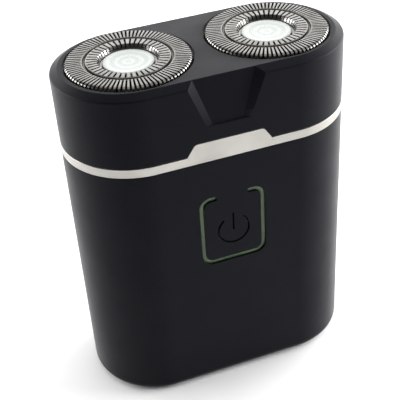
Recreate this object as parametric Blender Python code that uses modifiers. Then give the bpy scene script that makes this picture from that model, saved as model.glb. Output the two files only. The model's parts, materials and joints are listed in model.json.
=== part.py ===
"""Two-head rotary travel shaver, made of separate pieces that fit and move together.

Frame: metres, +Z up. The origin is the centre of the base, the long side of the stadium section
lies along X, and the power button faces -Y. Every size below is a full length unless its name
says otherwise, and a piece that touches its neighbour keeps TOUCH to it. A shape that is joined to
another runs EMBED into it, and a shape that cuts another starts BEYOND it.
"""
import math

import bmesh
import bpy
from mathutils import Matrix, Vector

MM = 0.001

# ---- overall size
BODY_WIDTH = 60.0 * MM
BODY_DEPTH = 30.0 * MM
HOUSING_HEIGHT = 58.7 * MM
BAND_HEIGHT = 2.0 * MM
HEAD_HEIGHT = 15.4 * MM

# ---- clearances
TOUCH = 0.3 * MM
RUNNING = 0.1 * MM
EMBED = 0.5 * MM
BEYOND = 1.0 * MM
ARC_STEPS = 16

# ---- housing
WALL = 1.6 * MM
BASE_WALL = 1.8 * MM
BASE_RADIUS = 2.4 * MM
CAVITY_RADIUS = 1.0 * MM

# ---- silver band and its tab
TAB_RISE = 2.45 * MM
TAB_FOOT = 17.6 * MM
TAB_TOP = 14.3 * MM
TAB_CORNER = 1.0 * MM
TAB_THICKNESS = 1.2 * MM

# ---- head frame
HEAD_WALL = 1.6 * MM
HEAD_ROOF = 1.9 * MM
BEVEL_INSET = 1.7 * MM
BEVEL_DROP = 1.0 * MM
HOLE_RIM = 2.2 * MM
END_RIM = 2.7 * MM
NOTCH_HEIGHT = 9.7 * MM
NOTCH_DEPTH_TOP = 1.65 * MM
NOTCH_DEPTH_FOOT = 0.4 * MM
NOTCH_TOP = 16.4 * MM
NOTCH_FOOT = 9.1 * MM
NOTCH_FLOOR_TOP = 12.6 * MM
NOTCH_FLOOR_FOOT = 6.3 * MM
PAD_WIDTH = 17.0 * MM
PAD_DEPTH = 1.2 * MM
RIB_LENGTH = 6.0 * MM

# ---- foils
FOIL_GAP = 0.35 * MM
FOIL_RISE = 0.5 * MM
FOIL_SHEET = 0.5 * MM
FOIL_SHOULDER = 0.65 * MM
FOIL_EASE = 0.25 * MM
FOIL_TRAVEL = 1.0 * MM
FLANGE_REACH = 0.3 * MM
FLANGE_THICKNESS = 1.0 * MM
OUTER_TRACK_WIDTH = 3.6 * MM
GROOVE_WIDTH = 0.45 * MM
GROOVE_DEPTH = 0.35 * MM
INNER_TRACK_WIDTH = 2.4 * MM
WELL_DEPTH = 1.3 * MM
WELL_SLOPE = 0.4 * MM
DISC_SINK = 0.7 * MM
DISC_GAP = 0.5 * MM
DISC_EDGE = 0.15 * MM
DISC_DISH = 0.1 * MM
FOIL_STEPS = 32

# ---- cutters
BLADE_COUNT = 9
BLADE_THICKNESS = 0.6 * MM
BLADE_RAKE = math.radians(18.0)
CUTTER_PLATE = 0.7 * MM
CUTTER_PLATE_DROP = 0.8 * MM
CUTTER_HUB_RADIUS = 3.4 * MM
CUTTER_HUB_REACH = 1.7 * MM
CUTTER_SEAT_GAP = 1.0 * MM
SOCKET_DEPTH = 3.2 * MM

# ---- bracket that holds foils and cutters in the head
BRACKET_THICKNESS = 1.6 * MM
BRACKET_RING_OVERLAP = 0.85 * MM
BRACKET_WEB_LAP = 3.6 * MM
BRACKET_HUB_GAP = 0.5 * MM
BRACKET_HUB_RING = 1.3 * MM
SPOKE_WIDTH = 1.8 * MM
SPOKE_COUNT = 3
MAGNET_RADIUS = 2.0 * MM
MAGNET_THICKNESS = 2.0 * MM
MAGNET_HOLDER_WALL = 0.6 * MM

# ---- quarter-turn knob under the bracket
STUD_RADIUS = 0.9 * MM
KNOB_SIDE_GAP = 2.2 * MM
KNOB_HEIGHT = 3.2 * MM
KNOB_CAP = 1.0 * MM
WING_INSET = 0.4 * MM
WING_THICKNESS = 1.6 * MM
WING_HEIGHT = 1.3 * MM

# ---- drive deck
DECK_DROP = 1.5 * MM
DECK_PLATE = 1.6 * MM
COLLAR_WALL = 1.2 * MM
COLLAR_SKIRT = 2.7 * MM
COLLAR_BELOW_PILLAR = 0.8 * MM
HUB_HOLE_RADIUS = 2.95 * MM
SEAL_BOSS_RADIUS = 5.6 * MM
SEAL_RADIUS = 4.4 * MM
SEAL_THICKNESS = 1.1 * MM
SEAL_LIP = 0.4 * MM
SEAL_SINK = 0.2 * MM
POST_RADIUS = 1.5 * MM
SCREW_RADIUS = 0.6 * MM
SCREW_HEAD_RADIUS = 1.2 * MM
SCREW_HEAD = 0.8 * MM
SCREW_HEAD_ROUND = 0.25 * MM
SCREW_TIP = 0.4 * MM

# ---- gear train
NOMINAL_MODULE = 0.725 * MM
ADDENDUM = 0.8
DEDENDUM = 1.1
PRESSURE_ANGLE = math.radians(25.0)
BACKLASH = 0.16 * MM
GEAR_FACE = 2.6 * MM
GEAR_BELOW_DECK = 2.6 * MM
GEAR_ABOVE_PLATE = 1.2 * MM
GEAR_PLATE = 1.5 * MM
PIN_RADIUS = 1.0 * MM
PIN_EDGE = 0.2 * MM
PIN_BELOW_PLATE = 0.5 * MM
HUB_FLATS = 4.4 * MM

# ---- drive spindles
SPINDLE_RADIUS = 3.7 * MM
SPINDLE_TIP_FLATS = 3.4 * MM
SPINDLE_CEILING = 1.0 * MM
SPRING_SPACE = 2.8 * MM
SPRING_RADIUS = 1.75 * MM
SPRING_WIRE = 0.2 * MM
SPRING_TURNS = 3

# ---- motor
MOTOR_RADIUS = 10.1 * MM
MOTOR_LENGTH = 23.0 * MM
MOTOR_BOSS_RADIUS = 3.0 * MM
MOTOR_BOSS_HEIGHT = 0.9 * MM
MOTOR_EDGE = 0.8 * MM
MOTOR_BOARD_GAP = 1.0 * MM
END_CAP_HEIGHT = 2.1 * MM
END_CAP_INSET = 0.5 * MM
SHAFT_RADIUS = 1.0 * MM
SHAFT_DEPTH = 8.0 * MM
SHAFT_ABOVE_GEAR = 1.4 * MM

# ---- power button
BUTTON_DROP = 8.7 * MM
BUTTON_WIDTH = 14.4 * MM
BUTTON_HEIGHT = 17.0 * MM
BUTTON_CORNER = 2.5 * MM
SLOT_WIDTH = 1.05 * MM
NECK_WIDTH = 6.8 * MM
POST_ABOVE_SLOT = 2.6 * MM
BUTTON_POST_RADIUS = 1.2 * MM
BUTTON_POST_LENGTH = 1.1 * MM
HINGE_DEPTH = 0.8 * MM
GUIDE_RECESS = 0.45 * MM
GUIDE_FLANGE = 0.9 * MM
GUIDE_FLANGE_WIDTH = 2.6 * MM

# ---- boards and switch
SWITCH_SPACE = 3.8 * MM
BOARD_THICKNESS = 1.0 * MM
BOARD_WIDTH = 40.0 * MM
BOARD_FOOT = 5.0 * MM
BOARD_HOLE_X = 17.0 * MM
BOARD_HOLE_INSET = 7.0 * MM
BOARD_CORNER = 1.0 * MM
BOARD_SCREW_REACH = 4.0 * MM
SWITCH_SIDE = 4.6 * MM
SWITCH_THICKNESS = 1.4 * MM
PLUNGER_RADIUS = 0.9 * MM
PLUNGER_TRAVEL = 0.3 * MM
PLUNGER_LENGTH = 1.5 * MM
LED_WIDTH = 2.0 * MM
LED_HEIGHT = 1.2 * MM
LED_THICKNESS = 0.8 * MM
LED_BESIDE_BUTTON = 0.4 * MM

# ---- chassis and battery
CHASSIS_GAP = 1.0 * MM
CHASSIS_THICKNESS = 1.2 * MM
CHASSIS_BESIDE_ROOT = 0.7 * MM
CRADLE_SHARES = (0.2, 0.8)
CHASSIS_ABOVE_FLOOR = 1.7 * MM
BOARD_POST_RADIUS = 2.0 * MM
SHELF_WIDTH = 16.0 * MM
SHELF_LAP = 2.0 * MM
CRADLE_THICKNESS = 1.2 * MM
CRADLE_HEIGHT = 3.0 * MM
CRADLE_ROOT = 4.0 * MM
BATTERY_SIDE_GAP = 2.1 * MM
BATTERY_BOARD_GAP = 1.6 * MM
BATTERY_EDGE = 0.6 * MM
BATTERY_FOOT = 4.6 * MM
BATTERY_LENGTH = 43.0 * MM
BATTERY_NUB_RADIUS = 2.4 * MM
BATTERY_NUB_HEIGHT = 0.8 * MM

# ---- charging socket
SOCKET_WIDTH = 8.94 * MM
SOCKET_HEIGHT = 3.26 * MM
SOCKET_LENGTH = 7.3 * MM
SOCKET_SHEET = 0.3 * MM
SOCKET_INSET = 0.5 * MM
SOCKET_ROUNDNESS = 0.98
TONGUE_WIDTH = 6.6 * MM
TONGUE_THICKNESS = 0.7 * MM
TONGUE_BLOCK = 1.5 * MM
TONGUE_SINK = 0.8 * MM
GASKET_WALL = 1.4 * MM
GASKET_HEIGHT = 1.2 * MM
CHARGE_BOARD_WIDTH = 19.0 * MM
CHARGE_BOARD_DEPTH = 11.0 * MM

LEAD_RADIUS = 0.45 * MM

# ---- places that follow from the sizes: heights
HOUSING_TOP = HOUSING_HEIGHT - TOUCH / 2
BAND_LOW = HOUSING_HEIGHT + TOUCH / 2
BAND_TOP = HOUSING_HEIGHT + BAND_HEIGHT
HEAD_LOW = BAND_TOP + TOUCH / 2
HEAD_TOP = BAND_TOP + HEAD_HEIGHT
FOIL_CREST = HEAD_TOP + FOIL_RISE
ROOF_LOW = HEAD_TOP - HEAD_ROOF
FLANGE_TOP = ROOF_LOW - TOUCH
FOIL_LOW = FLANGE_TOP - FLANGE_THICKNESS
WELL_FLOOR = FOIL_CREST - WELL_DEPTH
BLADE_TOP = FOIL_CREST - FOIL_SHEET - TOUCH
CUTTER_TOP = WELL_FLOOR - FOIL_SHEET - CUTTER_PLATE_DROP
BRACKET_TOP = FOIL_LOW - FOIL_TRAVEL - TOUCH
BRACKET_LOW = BRACKET_TOP - BRACKET_THICKNESS
CUTTER_HUB_LOW = BRACKET_LOW - CUTTER_HUB_REACH
SOCKET_TOP = CUTTER_HUB_LOW + SOCKET_DEPTH
HEAD_MAGNET_LOW = BRACKET_LOW - TOUCH - MAGNET_THICKNESS
PILLAR_TOP = HEAD_MAGNET_LOW - TOUCH
COLLAR_TOP = PILLAR_TOP - COLLAR_BELOW_PILLAR
PAD_LOW = PILLAR_TOP + TOUCH
KNOB_TOP = BRACKET_LOW - TOUCH
KNOB_LOW = KNOB_TOP - KNOB_HEIGHT
STUD_LOW = KNOB_LOW + KNOB_CAP + TOUCH
DECK_LOW = HOUSING_HEIGHT - DECK_DROP
DECK_TOP = DECK_LOW + DECK_PLATE
SEAL_LOW = DECK_TOP + TOUCH
SEAL_BOSS_TOP = SEAL_LOW + SEAL_THICKNESS + SEAL_SINK
GEAR_TOP = DECK_LOW - GEAR_BELOW_DECK
GEAR_LOW = GEAR_TOP - GEAR_FACE
GEAR_PLATE_TOP = GEAR_LOW - GEAR_ABOVE_PLATE
GEAR_PLATE_LOW = GEAR_PLATE_TOP - GEAR_PLATE
SPINDLE_LOW = SEAL_BOSS_TOP + FOIL_TRAVEL + TOUCH
SPINDLE_SHOULDER = CUTTER_HUB_LOW - CUTTER_SEAT_GAP
SPINDLE_CEILING_Z = SPINDLE_SHOULDER - SPINDLE_CEILING
SPINDLE_TIP = SOCKET_TOP - TOUCH
GEAR_HUB_TOP = SPINDLE_CEILING_Z - SPRING_SPACE
PIN_TOP = SPINDLE_CEILING_Z - FOIL_TRAVEL - 2 * TOUCH
MOTOR_TOP = GEAR_PLATE_LOW - TOUCH
MOTOR_LOW = MOTOR_TOP - MOTOR_LENGTH
BOARD_TOP = GEAR_PLATE_LOW - SCREW_HEAD - 2 * TOUCH
BUTTON_TOP = HOUSING_HEIGHT - BUTTON_DROP
BUTTON_LOW = BUTTON_TOP - BUTTON_HEIGHT
SWITCH_Z = BUTTON_LOW + SLOT_WIDTH + POST_ABOVE_SLOT
CHARGE_BOARD_LOW = SOCKET_INSET + SOCKET_LENGTH + TOUCH

# ---- places that follow from the sizes: across
FRONT = -BODY_DEPTH / 2
INNER_DEPTH = BODY_DEPTH - 2 * WALL
COLLAR_INSET = WALL + TOUCH
COLLAR_INNER = BODY_DEPTH / 2 - COLLAR_INSET - COLLAR_WALL
HOLE_RADIUS = BODY_DEPTH / 2 - HOLE_RIM
FOIL_X = BODY_WIDTH / 2 - END_RIM - HOLE_RADIUS
FOIL_RADIUS = HOLE_RADIUS - FOIL_GAP
FLANGE_RADIUS = HOLE_RADIUS + FLANGE_REACH
OUTER_TRACK_INNER = FOIL_RADIUS - OUTER_TRACK_WIDTH
INNER_TRACK_OUTER = OUTER_TRACK_INNER - GROOVE_WIDTH
WELL_RADIUS = INNER_TRACK_OUTER - INNER_TRACK_WIDTH
DISC_RADIUS = WELL_RADIUS - WELL_SLOPE - DISC_GAP
CUTTER_RADIUS = FOIL_RADIUS - FOIL_SHEET - 2 * TOUCH
MAGNET_Y = COLLAR_INNER - MAGNET_RADIUS - 2 * TOUCH
PILLAR_RADIUS = MAGNET_RADIUS + TOUCH + MAGNET_HOLDER_WALL
KNOB_RADIUS = MAGNET_Y - PILLAR_RADIUS - KNOB_SIDE_GAP
BOARD_FRONT = -INNER_DEPTH / 2 + SWITCH_SPACE
BOARD_BACK = BOARD_FRONT + BOARD_THICKNESS
MOTOR_HALF_DEPTH = -BOARD_BACK - MOTOR_BOARD_GAP
CHASSIS_FRONT = MOTOR_HALF_DEPTH + CHASSIS_GAP
BATTERY_RADIUS = -BOARD_BACK - BATTERY_BOARD_GAP
BATTERY_X = -(BODY_WIDTH / 2 - WALL - BATTERY_SIDE_GAP - BATTERY_RADIUS)
CHASSIS_HALF = -BATTERY_X + CRADLE_ROOT / 2 + CHASSIS_BESIDE_ROOT
GEAR_REACH = COLLAR_INNER - TOUCH
TOTAL_TEETH = round(2 * FOIL_X / NOMINAL_MODULE)
MODULE = 2 * FOIL_X / TOTAL_TEETH
GEAR_TEETH = min(math.floor(2 * (GEAR_REACH / MODULE - ADDENDUM)), 3 * TOTAL_TEETH // 4)
PINION_TEETH = TOTAL_TEETH - GEAR_TEETH
POST_X = PINION_TEETH * MODULE / 2
POST_Y = min(COLLAR_INNER, INNER_DEPTH / 2 - TOUCH - GUIDE_FLANGE) - TOUCH - POST_RADIUS
SOCKET_CORNER = SOCKET_ROUNDNESS * SOCKET_HEIGHT / 2

SIDES = {"left": -FOIL_X, "right": FOIL_X}


# ---------------------------------------------------------------- outlines
def arc(x, y, radius, start, end, steps):
    """Points of an arc from start to end, both in degrees and both included."""
    angles = [math.radians(start + (end - start) * i / steps) for i in range(steps + 1)]
    return [(x + radius * math.cos(a), y + radius * math.sin(a)) for a in angles]


def circle(radius, steps=24, x=0.0, y=0.0):
    return arc(x, y, radius, 0.0, 360.0, steps)[:-1]


def stadium(inset=0.0):
    """The body's section, moved in by inset: two half circles joined by straights."""
    radius = BODY_DEPTH / 2 - inset
    straight = (BODY_WIDTH - BODY_DEPTH) / 2
    right = arc(straight, 0.0, radius, -90.0, 90.0, ARC_STEPS)
    left = arc(-straight, 0.0, radius, 90.0, 270.0, ARC_STEPS)
    return right + left


def rounded_rectangle(width, height, radius, x=0.0, y=0.0, steps=4):
    """A rectangle about (x, y) with its corners rounded."""
    across = width / 2 - radius
    up = height / 2 - radius
    points = arc(x + across, y + up, radius, 0.0, 90.0, steps)
    points += arc(x - across, y + up, radius, 90.0, 180.0, steps)
    points += arc(x - across, y - up, radius, 180.0, 270.0, steps)
    points += arc(x + across, y - up, radius, 270.0, 360.0, steps)
    return points


def hexagon(flats):
    return circle(flats / math.sqrt(3.0), 6)


def clipped_circle(radius, half_depth, steps=10):
    """A circle whose front and back are cut flat at half_depth."""
    limit = math.degrees(math.asin(half_depth / radius))
    right = arc(0.0, 0.0, radius, -limit, limit, steps)
    left = arc(0.0, 0.0, radius, 180.0 - limit, 180.0 + limit, steps)
    return right + left


def sector(inner, outer, start, end, x, steps=6):
    """A window between two radii and two angles, about (x, 0)."""
    return arc(x, 0.0, outer, start, end, steps) + arc(x, 0.0, inner, end, start, steps)


def involute(angle):
    return math.tan(angle) - angle


def gear_outline(teeth, first_tooth):
    """A spur gear's outline. first_tooth is the direction of one tooth's centre, in radians."""
    pitch = MODULE * teeth / 2
    base = pitch * math.cos(PRESSURE_ANGLE)
    tip = pitch + ADDENDUM * MODULE
    root = pitch - DEDENDUM * MODULE
    radii = [root, (root + pitch) / 2, tip]
    half_at_pitch = math.pi / (2 * teeth) - BACKLASH / (4 * pitch)
    halves = []
    for radius in radii:
        flank = math.acos(min(1.0, base / radius))
        halves.append(half_at_pitch + involute(PRESSURE_ANGLE) - involute(flank))
    points = []
    for tooth in range(teeth):
        middle = first_tooth + 2 * math.pi * tooth / teeth
        for radius, half in zip(radii, halves):
            points.append((radius * math.cos(middle - half), radius * math.sin(middle - half)))
        for radius, half in reversed(list(zip(radii, halves))):
            points.append((radius * math.cos(middle + half), radius * math.sin(middle + half)))
    return points


# ---------------------------------------------------------------- scene helpers
def clear_scene():
    for obj in list(bpy.data.objects):
        bpy.data.objects.remove(obj, do_unlink=True)


def new_collection(name):
    collection = bpy.data.collections.new(name)
    bpy.context.scene.collection.children.link(collection)
    return collection


def make_material(name, colour, roughness, metallic=0.0):
    material = bpy.data.materials.new(name)
    material.use_nodes = True
    shader = material.node_tree.nodes["Principled BSDF"]
    shader.inputs["Base Color"].default_value = (*colour, 1.0)
    shader.inputs["Roughness"].default_value = roughness
    shader.inputs["Metallic"].default_value = metallic
    return material


def new_object(name, mesh):
    obj = bpy.data.objects.new(name, mesh)
    PARTS.objects.link(obj)
    return obj


def weld(mesh):
    """Joins a curve's loose caps to its sides, and merges each flat cap into as few faces as it can."""
    bm = bmesh.new()
    bm.from_mesh(mesh)
    bmesh.ops.remove_doubles(bm, verts=bm.verts, dist=1e-6)
    flat = math.radians(0.05)
    bmesh.ops.dissolve_limit(bm, angle_limit=flat, verts=bm.verts, edges=bm.edges)
    bmesh.ops.recalc_face_normals(bm, faces=bm.faces)
    bm.to_mesh(mesh)
    bm.free()


def mesh_from_curve(curve):
    """The welded mesh of a curve, whose own object is removed."""
    guide = bpy.data.objects.new("guide", curve)
    bpy.context.scene.collection.objects.link(guide)
    graph = bpy.context.evaluated_depsgraph_get()
    mesh = bpy.data.meshes.new_from_object(guide.evaluated_get(graph))
    bpy.data.objects.remove(guide, do_unlink=True)
    weld(mesh)
    return mesh


def slab(name, outlines, low, high, origin=(0.0, 0.0), facing="Z"):
    """A plate between low and high. The first outline is its edge and the others are holes.

    Facing Z, outlines are (x, y) about origin. Facing Y, outlines are (x, z).
    """
    curve = bpy.data.curves.new(name, "CURVE")
    curve.dimensions = "2D"
    curve.fill_mode = "BOTH"
    curve.extrude = (high - low) / 2
    for outline in outlines:
        spline = curve.splines.new("POLY")
        spline.points.add(len(outline) - 1)
        for point, (across, up) in zip(spline.points, outline):
            point.co = (across, up, 0.0, 1.0)
        spline.use_cyclic_u = True
    obj = new_object(name, mesh_from_curve(curve))
    middle = (low + high) / 2
    if facing == "Z":
        obj.data.transform(Matrix.Translation((0.0, 0.0, middle)))
        obj.location = (origin[0], origin[1], 0.0)
    else:
        stand = Matrix.Rotation(math.pi / 2, 4, "X")
        obj.data.transform(Matrix.Translation((0.0, middle, 0.0)) @ stand)
        obj.location = (origin[0], 0.0, origin[1])
    return obj


def box(name, low, high):
    """A box between two corners."""
    bpy.ops.mesh.primitive_cube_add(size=1.0)
    obj = bpy.context.object
    take_over(obj, name)
    size = [b - a for a, b in zip(low, high)]
    middle = [(a + b) / 2 for a, b in zip(low, high)]
    obj.data.transform(Matrix.Translation(middle) @ Matrix.Diagonal((*size, 1.0)))
    return obj


def cylinder(name, radius, low, high, x=0.0, y=0.0, steps=24, facing="Z"):
    """A cylinder from low to high, along Z at (x, y) or along Y at (x, z=y)."""
    bpy.ops.mesh.primitive_cylinder_add(vertices=steps, radius=radius, depth=high - low)
    obj = bpy.context.object
    take_over(obj, name)
    middle = (low + high) / 2
    if facing == "Z":
        obj.data.transform(Matrix.Translation((0.0, 0.0, middle)))
        obj.location = (x, y, 0.0)
    else:
        stand = Matrix.Rotation(math.pi / 2, 4, "X")
        obj.data.transform(Matrix.Translation((0.0, middle, 0.0)) @ stand)
        obj.location = (x, 0.0, y)
    return obj


def take_over(obj, name):
    """Gives a new primitive its name and moves it to the parts' collection."""
    obj.name = name
    obj.data.name = name
    for collection in list(obj.users_collection):
        collection.objects.unlink(obj)
    PARTS.objects.link(obj)


def turned(name, profile, x=0.0, y=0.0, steps=24, ring=False):
    """A turned piece about the vertical through (x, y). A ring's profile is closed."""
    mesh = bpy.data.meshes.new(name)
    bm = bmesh.new()
    points = [bm.verts.new((radius, 0.0, height)) for radius, height in profile]
    for first, second in zip(points, points[1:]):
        bm.edges.new((first, second))
    if ring:
        bm.edges.new((points[-1], points[0]))
    bm.to_mesh(mesh)
    bm.free()
    obj = new_object(name, mesh)
    obj.location = (x, y, 0.0)
    screw = obj.modifiers.new("turn", "SCREW")
    screw.steps = steps
    screw.render_steps = steps
    screw.use_merge_vertices = True
    screw.merge_threshold = 1e-5
    return obj


def helper(obj):
    """Makes an object a cutter or a joining shape, which isn't a part."""
    PARTS.objects.unlink(obj)
    CUTTERS.objects.link(obj)
    obj.hide_render = True
    obj.display_type = "WIRE"
    return obj


def cut(obj, *others):
    for other in others:
        modifier = obj.modifiers.new("cut " + other.name, "BOOLEAN")
        modifier.operation = "DIFFERENCE"
        modifier.object = helper(other)


def join(obj, *others):
    for other in others:
        modifier = obj.modifiers.new("join " + other.name, "BOOLEAN")
        modifier.operation = "UNION"
        modifier.object = helper(other)


def round_edges(obj, width, segments, chosen):
    """Rounds the edges whose two ends both pass the test chosen(point)."""
    bm = bmesh.new()
    bm.from_mesh(obj.data)
    weights = bm.edges.layers.float.new("bevel_weight_edge")
    for edge in bm.edges:
        sharp = edge.calc_face_angle(0.0) > math.radians(30.0)
        if sharp and all(chosen(vertex.co) for vertex in edge.verts):
            edge[weights] = 1.0
    bm.to_mesh(obj.data)
    bm.free()
    bevel = obj.modifiers.new("round", "BEVEL")
    bevel.limit_method = "WEIGHT"
    bevel.width = width
    bevel.segments = segments


def move_origin(obj, point):
    """Puts the origin on a joint's axis. The shape stays where it is."""
    shift = Vector(point) - obj.location
    obj.data.transform(Matrix.Translation(-shift))
    obj.location = point


def finish(obj, material):
    obj.data.materials.clear()
    obj.data.materials.append(material)
    obj.data.shade_smooth()
    obj.data.set_sharp_from_angle(angle=math.radians(35.0))
    return obj


# ---------------------------------------------------------------- outer shell
def main_housing():
    shell = slab("main_housing", [stadium()], 0.0, HOUSING_TOP)
    round_edges(shell, BASE_RADIUS, 4, lambda point: point.z < BASE_WALL)
    cavity = slab("housing_cavity", [stadium(WALL)], BASE_WALL, HOUSING_TOP + BEYOND)
    round_edges(cavity, CAVITY_RADIUS, 2, lambda point: point.z < BASE_WALL + BEYOND)
    middle = (BUTTON_LOW + BUTTON_TOP) / 2
    opening = rounded_rectangle(BUTTON_WIDTH, BUTTON_HEIGHT, BUTTON_CORNER, 0.0, middle)
    window = slab("button_window", [opening], FRONT - BEYOND, FRONT + WALL + BEYOND, facing="Y")
    hole = slab("port_hole", [port_outline(TOUCH)], -BEYOND, BASE_WALL + BEYOND)
    cut(shell, cavity, window, hole)
    finish(shell, SOFT_BLACK)


def port_outline(grow):
    """The charging socket's outline, made larger all round by grow."""
    corner = SOCKET_CORNER + grow
    return rounded_rectangle(SOCKET_WIDTH + 2 * grow, SOCKET_HEIGHT + 2 * grow, corner)


def tab_outline(grow):
    """The trapezoid tab in (x, z), made larger all round by grow."""
    foot = TAB_FOOT / 2 + grow
    top = TAB_TOP / 2 + grow
    low = BAND_TOP - TOUCH
    high = BAND_TOP + TAB_RISE + grow
    lean = math.atan2(TAB_RISE, (TAB_FOOT - TAB_TOP) / 2)
    middle = top - TAB_CORNER * math.tan(lean / 2)
    right = arc(middle, high - TAB_CORNER, TAB_CORNER, 90.0 - math.degrees(lean), 90.0, 4)
    left = [(-x, z) for x, z in reversed(right)]
    return [(foot, low)] + right + left + [(-foot, low)]


def silver_band():
    outlines = [stadium(), stadium(WALL)]
    band = slab("silver_band", outlines, BAND_LOW, BAND_TOP - TOUCH / 2)
    tab = slab("band_tab", [tab_outline(0.0)], FRONT, FRONT + TAB_THICKNESS, facing="Y")
    join(band, tab)
    finish(band, SATIN_SILVER)


def notch_cutter():
    """The thumb notch: a cube whose corners are moved to the notch's own."""
    notch = box("thumb_notch", (-1.0, -1.0, -1.0), (1.0, 1.0, 1.0))
    foot_z = HEAD_TOP - NOTCH_HEIGHT
    slope = (NOTCH_DEPTH_TOP - NOTCH_DEPTH_FOOT) / NOTCH_HEIGHT
    high = HEAD_TOP + BEYOND
    stretch = (high - foot_z) / NOTCH_HEIGHT

    def half(foot, top):
        return (foot + (top - foot) * stretch) / 2

    flare_top = (NOTCH_TOP - NOTCH_FLOOR_TOP) / NOTCH_DEPTH_TOP
    flare_foot = (NOTCH_FOOT - NOTCH_FLOOR_FOOT) / NOTCH_DEPTH_FOOT
    for vertex in notch.data.vertices:
        side = math.copysign(1.0, vertex.co.x)
        inner = vertex.co.y > 0.0
        upper = vertex.co.z > 0.0
        z = high if upper else foot_z
        floor_y = FRONT + NOTCH_DEPTH_FOOT + slope * (z - foot_z)
        y = floor_y if inner else FRONT - EMBED
        if inner:
            across = half(NOTCH_FLOOR_FOOT, NOTCH_FLOOR_TOP) if upper else NOTCH_FLOOR_FOOT / 2
        elif upper:
            across = half(NOTCH_FOOT, NOTCH_TOP) + EMBED * flare_top / 2
        else:
            across = (NOTCH_FOOT + EMBED * flare_foot) / 2
        vertex.co = (side * across, y, z)
    return notch


def head_frame():
    frame = slab("head_frame", [stadium()], HEAD_LOW, HEAD_TOP - BEVEL_DROP)
    bm = bmesh.new()
    bm.from_mesh(frame.data)
    top = [face for face in bm.faces if face.normal.z > 0.9]
    bmesh.ops.inset_region(bm, faces=top, thickness=BEVEL_INSET, depth=0.0, use_even_offset=True)
    inner = {vertex for face in top for vertex in face.verts}
    bmesh.ops.translate(bm, verts=list(inner), vec=(0.0, 0.0, BEVEL_DROP))
    bm.to_mesh(frame.data)
    bm.free()
    cavity = slab("head_cavity", [stadium(HEAD_WALL)], HEAD_LOW - BEYOND, ROOF_LOW)
    cut(frame, cavity)
    pad_low = (-PAD_WIDTH / 2, FRONT + HEAD_WALL - EMBED, PAD_LOW)
    pad_high = (PAD_WIDTH / 2, FRONT + HEAD_WALL + PAD_DEPTH, ROOF_LOW + EMBED)
    join(frame, box("notch_pad", pad_low, pad_high))
    recess_back = FRONT + HEAD_WALL + BEYOND
    recess = slab("tab_recess", [tab_outline(TOUCH)], FRONT - BEYOND, recess_back, facing="Y")
    cut(frame, notch_cutter(), recess)
    low = ROOF_LOW - BEYOND
    high = HEAD_TOP + BEYOND
    for side, x in SIDES.items():
        cut(frame, cylinder("foil_hole_" + side, HOLE_RADIUS, low, high, x, steps=48))
    rib_half = STUD_RADIUS + RUNNING
    rib_low = (-rib_half, -RIB_LENGTH / 2, BRACKET_TOP + TOUCH)
    rib_high = (rib_half, RIB_LENGTH / 2, ROOF_LOW + EMBED)
    stud = cylinder("lock_stud", STUD_RADIUS, STUD_LOW, BRACKET_TOP + 2 * TOUCH, steps=16)
    join(frame, box("lock_rib", rib_low, rib_high), stud)
    finish(frame, SOFT_BLACK)


# ---------------------------------------------------------------- head contents
def foil(side, x):
    """The foil cup: well, inner track, groove, outer track, side wall and flange."""
    top = FOIL_CREST
    sheet = FOIL_SHEET
    ease = FOIL_EASE
    shoulder = arc(FOIL_RADIUS - FOIL_SHOULDER, top - FOIL_SHOULDER, FOIL_SHOULDER, 90.0, 0.0, 3)
    well_foot = WELL_RADIUS - WELL_SLOPE
    outer = [
        (0.0, WELL_FLOOR),
        (well_foot, WELL_FLOOR),
        (WELL_RADIUS, top - ease),
        (WELL_RADIUS + ease, top),
        (INNER_TRACK_OUTER - ease, top),
        (INNER_TRACK_OUTER, top - GROOVE_DEPTH),
        (OUTER_TRACK_INNER, top - GROOVE_DEPTH),
        (OUTER_TRACK_INNER + ease, top),
    ]
    outer += shoulder
    outer += [(FOIL_RADIUS, FLANGE_TOP), (FLANGE_RADIUS, FLANGE_TOP), (FLANGE_RADIUS, FOIL_LOW)]
    inner_wall = FOIL_RADIUS - sheet
    inner = [
        (inner_wall, FOIL_LOW),
        (inner_wall, top - FOIL_SHOULDER),
        (FOIL_RADIUS - FOIL_SHOULDER, top - sheet),
        (WELL_RADIUS + sheet, top - sheet),
        (well_foot + sheet, WELL_FLOOR - sheet),
        (0.0, WELL_FLOOR - sheet),
    ]
    finish(turned("foil_" + side, outer + inner, x, steps=FOIL_STEPS), STEEL_FOIL)


def foil_disc(side, x):
    top = FOIL_CREST - DISC_SINK
    low = WELL_FLOOR + TOUCH
    flat = DISC_RADIUS - DISC_EDGE
    profile = [
        (0.0, top - DISC_DISH),
        (flat / 2, top - DISC_DISH * 3 / 4),
        (flat, top),
        (DISC_RADIUS, top - DISC_EDGE),
        (DISC_RADIUS, low),
        (0.0, low),
    ]
    finish(turned("foil_disc_" + side, profile, x, steps=24), PALE_DISC)


def blade(name, inner, outer, angle, x):
    """One upright blade between two radii, raked back from its direction of travel."""
    half = BLADE_THICKNESS / 2
    low = (inner, -half, CUTTER_TOP - CUTTER_PLATE / 2)
    piece = box(name, low, (outer, half, BLADE_TOP))
    middle = Vector(((inner + outer) / 2, 0.0, 0.0))
    rake = Matrix.Rotation(BLADE_RAKE, 4, "Z")
    about = Matrix.Translation(middle) @ rake @ Matrix.Translation(-middle)
    piece.data.transform(Matrix.Rotation(angle, 4, "Z") @ about)
    piece.location = (x, 0.0, 0.0)
    return piece


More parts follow.
